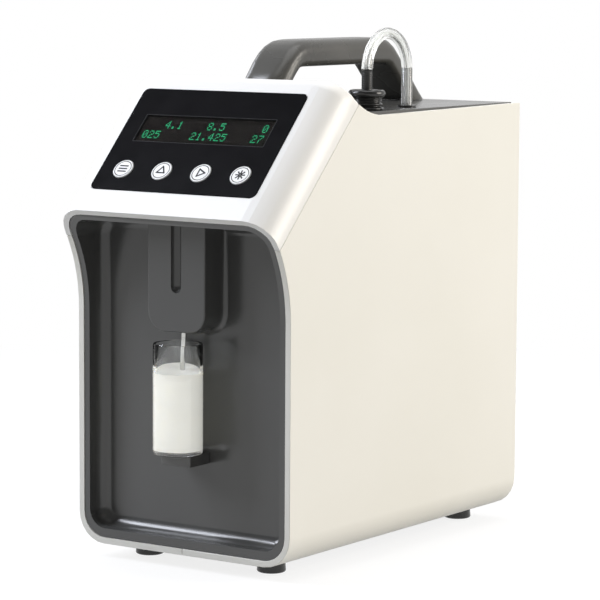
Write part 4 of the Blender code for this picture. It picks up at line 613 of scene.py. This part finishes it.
def makeStem():
    builder = bmesh.new()
    radius, groove, spigot = stem["radius"], stem["groove"], stem["spigot"]
    top = loop["centre"] + stem["above"]
    tip = top + stem["spigotHeight"]
    profile = [(0, tip), (spigot - 0.2, tip), (spigot, tip - 0.2), (spigot, top), (radius - 0.25, top)]
    profile += [(radius, top - 0.25)]
    height = top - 0.9
    while height > loop["deck"] + gland[0][1]:  # down to the rubber gland's bore
        profile += [(radius, height), (groove, height - 0.15)]
        profile += [(groove, height - 0.4), (radius, height - 0.55)]
        height -= stem["groovePitch"]
    profile += [(radius, loop["stemLow"]), (0, loop["stemLow"])]
    spun(builder, profile, 48)
    bmesh.ops.translate(builder, vec=Vector((loop["x"], loop["glandY"], 0)) * mm, verts=builder.verts)
    piece = meshObject("blackStem", builder)
    finishPiece(piece, [blackNylon], "case", ["black_stem_tube"], 40)


# the bow starts a little above its centre, where the stem and the pipe end
hose = {"radius": 2.74, "bore": 0.9, "edge": 0.15, "segments": 32, "steps": 72, "start": math.radians(2.6)}


def makeHoseLoop():
    # a ring section swept over the middle of the loop
    builder = bmesh.new()
    for radius in (hose["radius"], hose["bore"]):
        bmesh.ops.create_circle(builder, segments=hose["segments"], radius=radius * mm)
    ring = bmesh.ops.bridge_loops(builder, edges=builder.edges[:])["faces"]
    start = Vector((loop["x"], loop["glandY"], loop["centre"])) * mm
    centre = Vector((loop["x"], (loop["glandY"] + loop["pipeY"]) / 2, loop["centre"])) * mm
    tilt = Matrix.Rotation(-hose["start"], 3, "X")
    bmesh.ops.translate(builder, vec=start, verts=builder.verts)
    bmesh.ops.rotate(builder, cent=centre, matrix=tilt, verts=builder.verts)
    bmesh.ops.spin(
        builder,
        geom=ring,
        cent=centre,
        axis=(1, 0, 0),
        angle=hose["start"] * 2 - math.pi,
        steps=hose["steps"],
        use_duplicate=False,
    )
    bmesh.ops.remove_doubles(builder, verts=builder.verts, dist=1e-7)
    bmesh.ops.recalc_face_normals(builder, faces=builder.faces)
    piece = meshObject("clearHoseBow", builder)
    finishPiece(piece, [clearPvc], "case", ["clear_hose_loop"], 60)


def makeClearPipe():
    builder = bmesh.new()
    top, radius = loop["centre"] + 0.6, hose["radius"]
    profile = [(hose["bore"], top), (radius - hose["edge"], top), (radius, top - hose["edge"])]
    profile += [(radius, loop["pipeLow"]), (hose["bore"], loop["pipeLow"])]
    spun(builder, profile, 40, closed=True)
    bmesh.ops.translate(builder, vec=Vector((loop["x"], loop["pipeY"], 0)) * mm, verts=builder.verts)
    piece = meshObject("clearReturnPipe", builder)
    finishPiece(piece, [clearPvc], "case", ["clear_pipe"], 60)


makeGland()
makeStem()
makeHoseLoop()
makeClearPipe()
print("wash loop done")

# Carrying handle

handle = {"width": 25.0, "innerRounding": 3.4, "segments": 7}
handleStations = [  # outer y and z, inner y and z, and the outer rounding, in the photo fit's millimetres
    (58.9, 210.65, 72.65, 210.65, 9.6),
    (58.9, 215.5, 72.65, 215.5, 9.6),
    (58.95, 220.3, 72.7, 220.6, 9.6),
    (60.2, 223.4, 73.6, 222.6, 9.4),
    (64.8, 228.0, 75.6, 224.6, 7.6),
    (70.4, 233.5, 78.2, 227.1, 6.0),
    (75.0, 237.7, 80.2, 228.9, 6.0),
    (79.4, 240.7, 82.2, 229.9, 6.4),
    (84.2, 242.6, 85.4, 230.2, 6.6),
    (90.0, 243.2, 90.0, 230.22, 6.6),
    (100.0, 243.28, 100.0, 230.22, 6.2),
    (125.0, 243.28, 125.0, 230.22, 6.0),
    (150.0, 243.28, 150.0, 230.22, 6.0),
    (157.0, 243.2, 155.2, 230.22, 6.0),
    (161.8, 242.1, 158.6, 229.95, 6.0),
    (166.4, 239.3, 161.4, 229.0, 5.6),
    (171.0, 234.8, 165.2, 225.6, 5.2),
    (182.0, 224.1, 174.0, 217.0, 5.2),
    (190.6, 215.7, 177.8, 213.3, 6.2),
    (195.8, 210.65, 180.6, 210.65, 6.4),
]


def handleRing(builder, station):
    # a rounded rectangle with large outer corners, turned to stand across the handle's run
    outerY, outerZ, innerY, innerZ, rounding = station
    outer = Vector((0, outerY + shiftY, outerZ + shiftZ))
    inner = Vector((0, innerY + shiftY, innerZ + shiftZ))
    out = (outer - inner).normalized()
    half = (outer - inner).length / 2
    ringFace = rectangle(builder, handle["width"], half * 2)[0].link_faces[0]
    for side, offset in ((1, rounding), (-1, handle["innerRounding"])):
        corners = [vert for vert in ringFace.verts if vert.co.y * side > half - 0.001]
        roundCorners(builder, corners, offset, handle["segments"])
        ringFace = builder.faces[:][-1]
    turn = Matrix((Vector((1, 0, 0)), out, Vector((1, 0, 0)).cross(out))).transposed().to_4x4()
    place = Matrix.Scale(mm, 4) @ Matrix.Translation((outer + inner) / 2) @ turn
    bmesh.ops.transform(builder, matrix=place, verts=ringFace.verts[:])
    return ringFace


def makeHandle():
    builder = bmesh.new()
    rings = [handleRing(builder, station) for station in handleStations]
    edgeSets = [ring.edges[:] for ring in rings]
    for edges, following in zip(edgeSets, edgeSets[1:]):
        bmesh.ops.bridge_loops(builder, edges=edges + following)
    bmesh.ops.delete(builder, geom=rings[1:-1], context="FACES_ONLY")
    bmesh.ops.recalc_face_normals(builder, faces=builder.faces)
    piece = meshObject("roundedHandle", builder)
    finishPiece(piece, [handleAbs], "case", ["carry_handle"], 50)


makeHandle()
print("handle done")

# Panel: keys, display and digits

face = {"slope": 46.2, "y": 12.645 + shiftY, "z": 196.496 + shiftZ}
faceTurn = Matrix.Rotation(math.radians(face["slope"]), 4, "X")
facePlace = Matrix.Translation(Vector((0, face["y"], face["z"])) * mm) @ faceTurn
key = {"radius": 5.35, "top": 0.7, "disc": 4.2, "ring": 4.6, "pitch": 22.9, "down": 19.2, "edge": 0.2}
key |= {"ink": 0.04, "under": -0.9, "stem": 2.0, "stemLow": -7.5}
icon = {"stroke": 0.74, "bar": 5.0, "barPitch": 1.65, "triangle": 3.3, "corner": 0.5, "arm": 2.75, "hub": 0.2}


def onFace(builder, across, up, out):
    move = facePlace @ Matrix.Translation(Vector((across, up, out)) * mm)
    bmesh.ops.transform(builder, matrix=move, verts=builder.verts)


def inkBar(builder, length, across, up, angle):
    # a flat bar of ink, moved out from the key's centre and then turned about it
    verts = bmesh.ops.create_cube(builder, size=1)["verts"]
    turn = Matrix.Rotation(math.radians(angle), 3, "Z")
    bmesh.ops.scale(builder, vec=Vector((length, icon["stroke"], key["ink"])) * mm, verts=verts)
    bmesh.ops.translate(builder, vec=Vector((across, up, key["top"] + key["ink"] / 2)) * mm, verts=verts)
    bmesh.ops.rotate(builder, cent=(0, 0, 0), matrix=turn, verts=verts)


def inkTriangle(builder, angle):
    # an outlined triangle with rounded corners: a flat ring of ink raised a hair above the key
    for reach in (icon["triangle"], icon["triangle"] - icon["stroke"] * 2):
        bmesh.ops.create_circle(builder, segments=3, radius=reach * mm)
    bmesh.ops.bridge_loops(builder, edges=builder.edges[:])
    outer = sorted(builder.verts, key=lambda vert: -vert.co.length)[:3]
    roundCorners(builder, outer, icon["corner"] * mm, 3)
    thicken(builder, key["ink"] * mm)
    place = Matrix.Translation((0, 0, key["top"] * mm)) @ Matrix.Rotation(math.radians(angle), 4, "Z")
    bmesh.ops.transform(builder, matrix=place, verts=builder.verts)


def makeIcon(name, builder):
    if name == "menu_key":
        for row in (-1, 0, 1):
            inkBar(builder, icon["bar"], 0, row * icon["barPitch"], 0)
    elif name == "start_key":
        length = icon["arm"] - icon["hub"]
        for angle in range(0, 360, 45):
            inkBar(builder, length, icon["hub"] + length / 2, 0, angle)
    else:
        inkTriangle(builder, 0 if name == "up_key" else -90)


def makeKey(name, across):
    builder = bmesh.new()
    top, radius, under, stemRadius = key["top"], key["radius"], key["under"], key["stem"]
    profile = [(0, top), (key["disc"], top), (key["ring"], top), (radius - key["edge"], top)]
    profile += [(radius, top - key["edge"]), (radius, under), (stemRadius, under)]
    profile += [(stemRadius, key["stemLow"]), (0, key["stemLow"])]
    spun(builder, profile, 64)
    secondMaterial(builder, lambda reach, height: key["disc"] < reach < key["ring"] and height > 0)
    onFace(builder, across, -key["down"], 0)
    body = name + "_body"
    piece = meshObject(name + "Cap", builder)
    finishPiece(piece, [keyWhite, blackInk], body, [name], 30)
    inked = bmesh.new()
    makeIcon(name, inked)
    onFace(inked, across, -key["down"], 0)
    finishPiece(meshObject(name + "Icon", inked), [blackInk], body, (), 30)


for index, name in enumerate(keyNodes):
    makeKey(name, (index - 1.5) * key["pitch"])
print("keys done")

display = {
    "glass": (76.4, 16.6, 0.3),
    "up": 6.9,
    "behind": -1.25,
    "sealInner": (76.2, 16.4),  # a little inside the pane, so that no light slips past its edge
    "sealWidth": 1.6,
    "sealHeight": 1.53,
    "columns": 20,
    "columnPitch": 3.56,
    "dotAcross": 0.55,
    "dotUp": 0.68,
    "dotFill": 0.72,
    "dotHeight": 0.03,
    "rows": (8.3, 1.9),  # up the face, the underside of each line of characters
    "lines": ("   4.1    8.5      0", "025     21.425    27"),
}
dotFont = {  # seven rows of five dots
    "0": ("01110", "10001", "10011", "10101", "11001", "10001", "01110"),
    "1": ("00100", "01100", "00100", "00100", "00100", "00100", "01110"),
    "2": ("01110", "10001", "00001", "00110", "01000", "10000", "11111"),
    "4": ("00010", "00110", "01010", "10010", "11111", "00010", "00010"),
    "5": ("11111", "10000", "11110", "00001", "00001", "10001", "01110"),
    "7": ("11111", "00001", "00010", "00100", "01000", "01000", "01000"),
    "8": ("01110", "10001", "10001", "01110", "10001", "10001", "01110"),
    ".": ("00000", "00000", "00000", "00000", "00000", "01100", "01100"),
}


def makeDisplayGlass():
    builder = bmesh.new()
    verts = bmesh.ops.create_cube(builder, size=1)["verts"]
    bmesh.ops.scale(builder, vec=Vector(display["glass"]) * mm, verts=verts)
    onFace(builder, 0, display["up"], display["behind"] - display["glass"][2] / 2)
    finishPiece(meshObject("displayGlass", builder), [displayGlass], "case", (), 30)


def makeSeal():
    # a black frame round the window pane, from behind it to just under the film's top
    builder = bmesh.new()
    wide, tall = display["sealInner"]
    for grow in (display["sealWidth"], 0):
        rectangle(builder, wide + grow, tall + grow)
    rims = builder.edges[:]
    bmesh.ops.delete(builder, geom=builder.faces[:], context="FACES_ONLY")
    bmesh.ops.bridge_loops(builder, edges=rims)
    thicken(builder, display["sealHeight"])
    bmesh.ops.scale(builder, vec=(mm, mm, mm), verts=builder.verts)
    onFace(builder, 0, display["up"], display["behind"])
    finishPiece(meshObject("windowSeal", builder), [blackInk], "case", (), 30)


def litCells():
    # the middle of each lit dot, across the face and up it
    left = -display["columnPitch"] * display["columns"] / 2
    for line, low in zip(display["lines"], display["rows"]):
        for column, letter in enumerate(line):
            for rowIndex, row in enumerate(dotFont.get(letter, ())):
                for dotIndex in (index for index, lit in enumerate(row) if lit == "1"):
                    across = left + column * display["columnPitch"] + (dotIndex + 0.5) * display["dotAcross"]
                    yield across, low + (6 - rowIndex) * display["dotUp"]


def makeDigits():
    builder = bmesh.new()
    fill = display["dotFill"] * mm
    for across, up in litCells():
        dot = rectangle(builder, display["dotAcross"] * fill, display["dotUp"] * fill)
        bmesh.ops.translate(builder, vec=Vector((across, up, display["dotHeight"])) * mm, verts=dot)
    onFace(builder, 0, 0, display["behind"])
    finishPiece(meshObject("litDigits", builder), [litDots], "case", (), 30)


makeDisplayGlass()
makeSeal()
makeDigits()
print("display done")

# Rear sockets

inlet = {"x": 5.0, "y": 202.2 + shiftY, "z": 50.0 + shiftZ}
inlet |= {"flange": 7.8, "proud": 1.4, "bore": 2.9, "depth": 9.0, "pin": 1.0, "barrel": 5.5, "back": -14.0}


def makeInlet():
    builder = bmesh.new()
    flange, top, bore, pin, barrel, back = (
        inlet[name] for name in ("flange", "proud", "bore", "pin", "barrel", "back")
    )
    floor = top - inlet["depth"]
    profile = [(0, -0.1), (0.5, -0.1), (pin, -0.6), (pin, floor), (bore, floor), (bore, top - 0.3)]
    profile += [(bore + 0.3, top), (4.6, top), (4.8, top - 0.35), (6.0, top - 0.35), (6.2, top)]
    profile += [(flange - 0.5, top), (flange, top - 0.5), (flange, 0.3), (barrel, 0.3)]
    profile += [(barrel, back), (0, back)]
    spun(builder, profile, 56)
    secondMaterial(builder, lambda reach, height: reach < pin * 1.05 and height > floor)
    turn = Matrix.Rotation(math.radians(-90), 4, "X")
    place = Matrix.Translation(Vector((inlet["x"], inlet["y"], inlet["z"])) * mm)
    bmesh.ops.transform(builder, matrix=place @ turn, verts=builder.verts)
    piece = meshObject("powerInletBarrel", builder)
    finishPiece(piece, [blackNylon, zincSteel], "case", ["power_inlet"], 40)


port = {
    "x": -26.0,
    "y": 203.6 + shiftY,
    "z": 50.0 + shiftZ,
    "soft": 0.2,
    "face": (14.6, 6.0),
    "slant": 1.0,
    "corner": 1.2,
    "proud": 0.12,
    "socket": 0.62,
    "socketWall": 0.2,
    "socketHeight": -0.35,
    "socketPitch": 2.74,
    "rowPitch": 2.84,
}


def addSocket(builder, across, up):
    # known fault: only the sunk middle goes to the socket's place; the rim stays in the port's centre, unseen
    ring = bmesh.ops.create_circle(builder, cap_ends=True, segments=16, radius=port["socket"])["verts"]
    middle = ring[0].link_faces[0]
    bmesh.ops.inset_region(builder, faces=[middle], thickness=port["socketWall"], use_even_offset=True)
    place = (across, up, port["socketHeight"])
    bmesh.ops.translate(builder, vec=place, verts=middle.verts[:])


def makePortFace():
    # the black insulator inside the steel shroud, with its nine sockets
    insulator = bmesh.new()
    corners = rectangle(insulator, *port["face"])
    for vert in corners:
        if vert.co.y < 0:
            vert.co.x -= math.copysign(port["slant"], vert.co.x)
    roundCorners(insulator, corners, port["corner"], 5)
    thicken(insulator, port["proud"])
    sockets = bmesh.new()
    for count, row in ((5, 0.5), (4, -0.5)):
        for index in range(count):
            addSocket(sockets, (index - (count - 1) / 2) * port["socketPitch"], row * port["rowPitch"])
    turn = Matrix.Rotation(math.radians(-90), 4, "X") @ Matrix.Rotation(math.pi, 4, "Z")
    place = Matrix.Scale(mm, 4) @ Matrix.Translation((port["x"], port["y"], port["z"])) @ turn
    faceParts = ((insulator, "portInsulator", blackNylon), (sockets, "portSockets", stainless))
    for builder, name, material in faceParts:
        bmesh.ops.transform(builder, matrix=place, verts=builder.verts)
        finishPiece(meshObject(name, builder), [material], "case", (), 30)


makeInlet()
smoothCopy("data_port", slotOf["data_port"], port["soft"])
makePortFace()
print("rear sockets done")

# Floor, lights and camera

stageSet = {
    "floor": 12.0,
    "clearInner": 0.26,  # the shadow is kept within this reach, and gone beyond the outer one
    "clearOuter": 0.75,
    "glow": 0.82,
    "frontSky": 0.2,
    "backSky": 0.85,
}


def makeFloor():
    builder = bmesh.new()
    rectangle(builder, stageSet["floor"], stageSet["floor"])
    floor = meshObject("paleFloor", builder)
    material = bpy.data.materials.new("paleStudioFloor")
    material.use_nodes = True
    material.node_tree.nodes.clear()
    rays = addNode(material, "ShaderNodeLightPath").outputs
    seen = either(material, rays["Is Camera Ray"], rays["Is Glossy Ray"])
    seen = either(material, seen, rays["Is Transmission Ray"])
    place = addNode(material, "ShaderNodeTexCoord")
    reach = addNode(material, "ShaderNodeVectorMath", {"operation": "LENGTH"}, {0: place.outputs["Object"]})
    clear = addNode(
        material,
        "ShaderNodeMapRange",
        {
            "interpolation_type": "SMOOTHSTEP",
            "From Min": stageSet["clearInner"],
            "From Max": stageSet["clearOuter"],
        },
        {"Value": reach.outputs["Value"]},
    )
    paper = addNode(material, "ShaderNodeBsdfDiffuse", {"Color": linear("#A2A2A0")})
    shadowPaper = addNode(material, "ShaderNodeBsdfDiffuse", {"Color": linear("#808080")})
    glow = addNode(material, "ShaderNodeEmission", {"Color": linear("#FFFFFF"), "Strength": stageSet["glow"]})
    lit = addNode(material, "ShaderNodeAddShader", None, {0: shadowPaper.outputs[0], 1: glow.outputs[0]})
    white = addNode(material, "ShaderNodeEmission", {"Color": linear("#FFFFFF"), "Strength": 1.0})
    shown = addNode(
        material, "ShaderNodeMixShader", None, {0: clear.outputs[0], 1: lit.outputs[0], 2: white.outputs[0]}
    )
    mixed = addNode(
        material, "ShaderNodeMixShader", None, {0: seen, 1: paper.outputs[0], 2: shown.outputs[0]}
    )
    addNode(material, "ShaderNodeOutputMaterial", None, {"Surface": mixed.outputs[0]})
    floor.data.materials.append(material)


def makeWorld():
    world = bpy.data.worlds.new("whiteStudio")
    world.use_nodes = True
    bpy.context.scene.world = world
    background = world.node_tree.nodes["Background"]
    background.inputs["Color"].default_value = linear("#FFFFFF")
    # the camera and clear pieces see plain white; a white backdrop and a dimmer front room light the rest
    rays = addNode(world, "ShaderNodeLightPath").outputs
    seen = either(world, rays["Is Camera Ray"], rays["Is Transmission Ray"])
    ways = addNode(world, "ShaderNodeTexCoord")
    parts = addNode(world, "ShaderNodeSeparateXYZ", None, {0: ways.outputs["Generated"]})
    room = addNode(
        world,
        "ShaderNodeMapRange",
        {
            "interpolation_type": "SMOOTHSTEP",
            "From Min": -0.3,
            "From Max": 0.5,
            "To Min": stageSet["frontSky"],
            "To Max": stageSet["backSky"],
        },
        {"Value": parts.outputs["Y"]},
    )
    level = addNode(
        world,
        "ShaderNodeMapRange",
        {"From Min": 0.0, "From Max": 1.0, "To Max": 1.0},
        {"Value": seen, "To Min": room.outputs["Result"]},
    )
    world.node_tree.links.new(level.outputs["Result"], background.inputs["Strength"])


def areaLight(name, place, target, size, power, tint):
    light = bpy.data.lights.new(name, "AREA")
    light.shape = "RECTANGLE"
    light.size, light.size_y = size
    light.energy = power
    light.color = linear(tint)[:3]
    lamp = bpy.data.objects.new(name, light)
    bpy.context.scene.collection.objects.link(lamp)
    lamp.location = place
    lamp.rotation_mode = "QUATERNION"
    lamp.rotation_quaternion = (Vector(target) - Vector(place)).to_track_quat("-Z", "Y")


cameraFit = {  # solved from the case's own edges in the photograph
    "azimuth": 34.6317,
    "elevation": 6.6375,
    "roll": 0.3126,
    "place": (0.81394, -1.08063 + shiftY * mm, 0.28004 + shiftZ * mm),
    "lens": 173.15,
    "sensor": 36.0,
}


def makeCamera():
    camera = bpy.data.cameras.new("photoCamera")
    camera.lens = cameraFit["lens"]
    camera.sensor_width = cameraFit["sensor"]
    holder = bpy.data.objects.new("photoCamera", camera)
    bpy.context.scene.collection.objects.link(holder)
    around, above, roll = (math.radians(cameraFit[name]) for name in ("azimuth", "elevation", "roll"))
    back = Vector((math.sin(around) * math.cos(above), -math.cos(around) * math.cos(above), math.sin(above)))
    right = (-back).cross(Vector((0, 0, 1))).normalized()
    up = right.cross(-back)
    rolledRight = math.cos(roll) * right + math.sin(roll) * up
    rolledUp = -math.sin(roll) * right + math.cos(roll) * up
    turn = Matrix((rolledRight, rolledUp, back)).transposed()
    holder.matrix_world = Matrix.Translation(cameraFit["place"]) @ turn.to_4x4()
    bpy.context.scene.camera = holder


makeFloor()
makeWorld()
areaLight("keyRight", (1.5, 0.8, 0.7), (0, 0, 0.12), (0.9, 0.9), 19.0, "#FFF8EE")
areaLight("softboxLeft", (-1.08, -0.78, 1.16), (0, -0.08, 0.1), (0.45, 1.1), 25.0, "#F0F4FF")
areaLight("topSoft", (0.1, 0.1, 1.5), (0, 0, 0.1), (1.0, 1.0), 5.0, "#FFFFFF")
areaLight("stripLeft", (-1.22, 0.36, 0.7), (0, 0, 0.2), (0.2, 0.7), 2.4, "#F0F4FF")
makeCamera()
bpy.context.scene.view_settings.view_transform = "Standard"
print("stage done")

# Last update of the scene

bpy.context.view_layer.update()
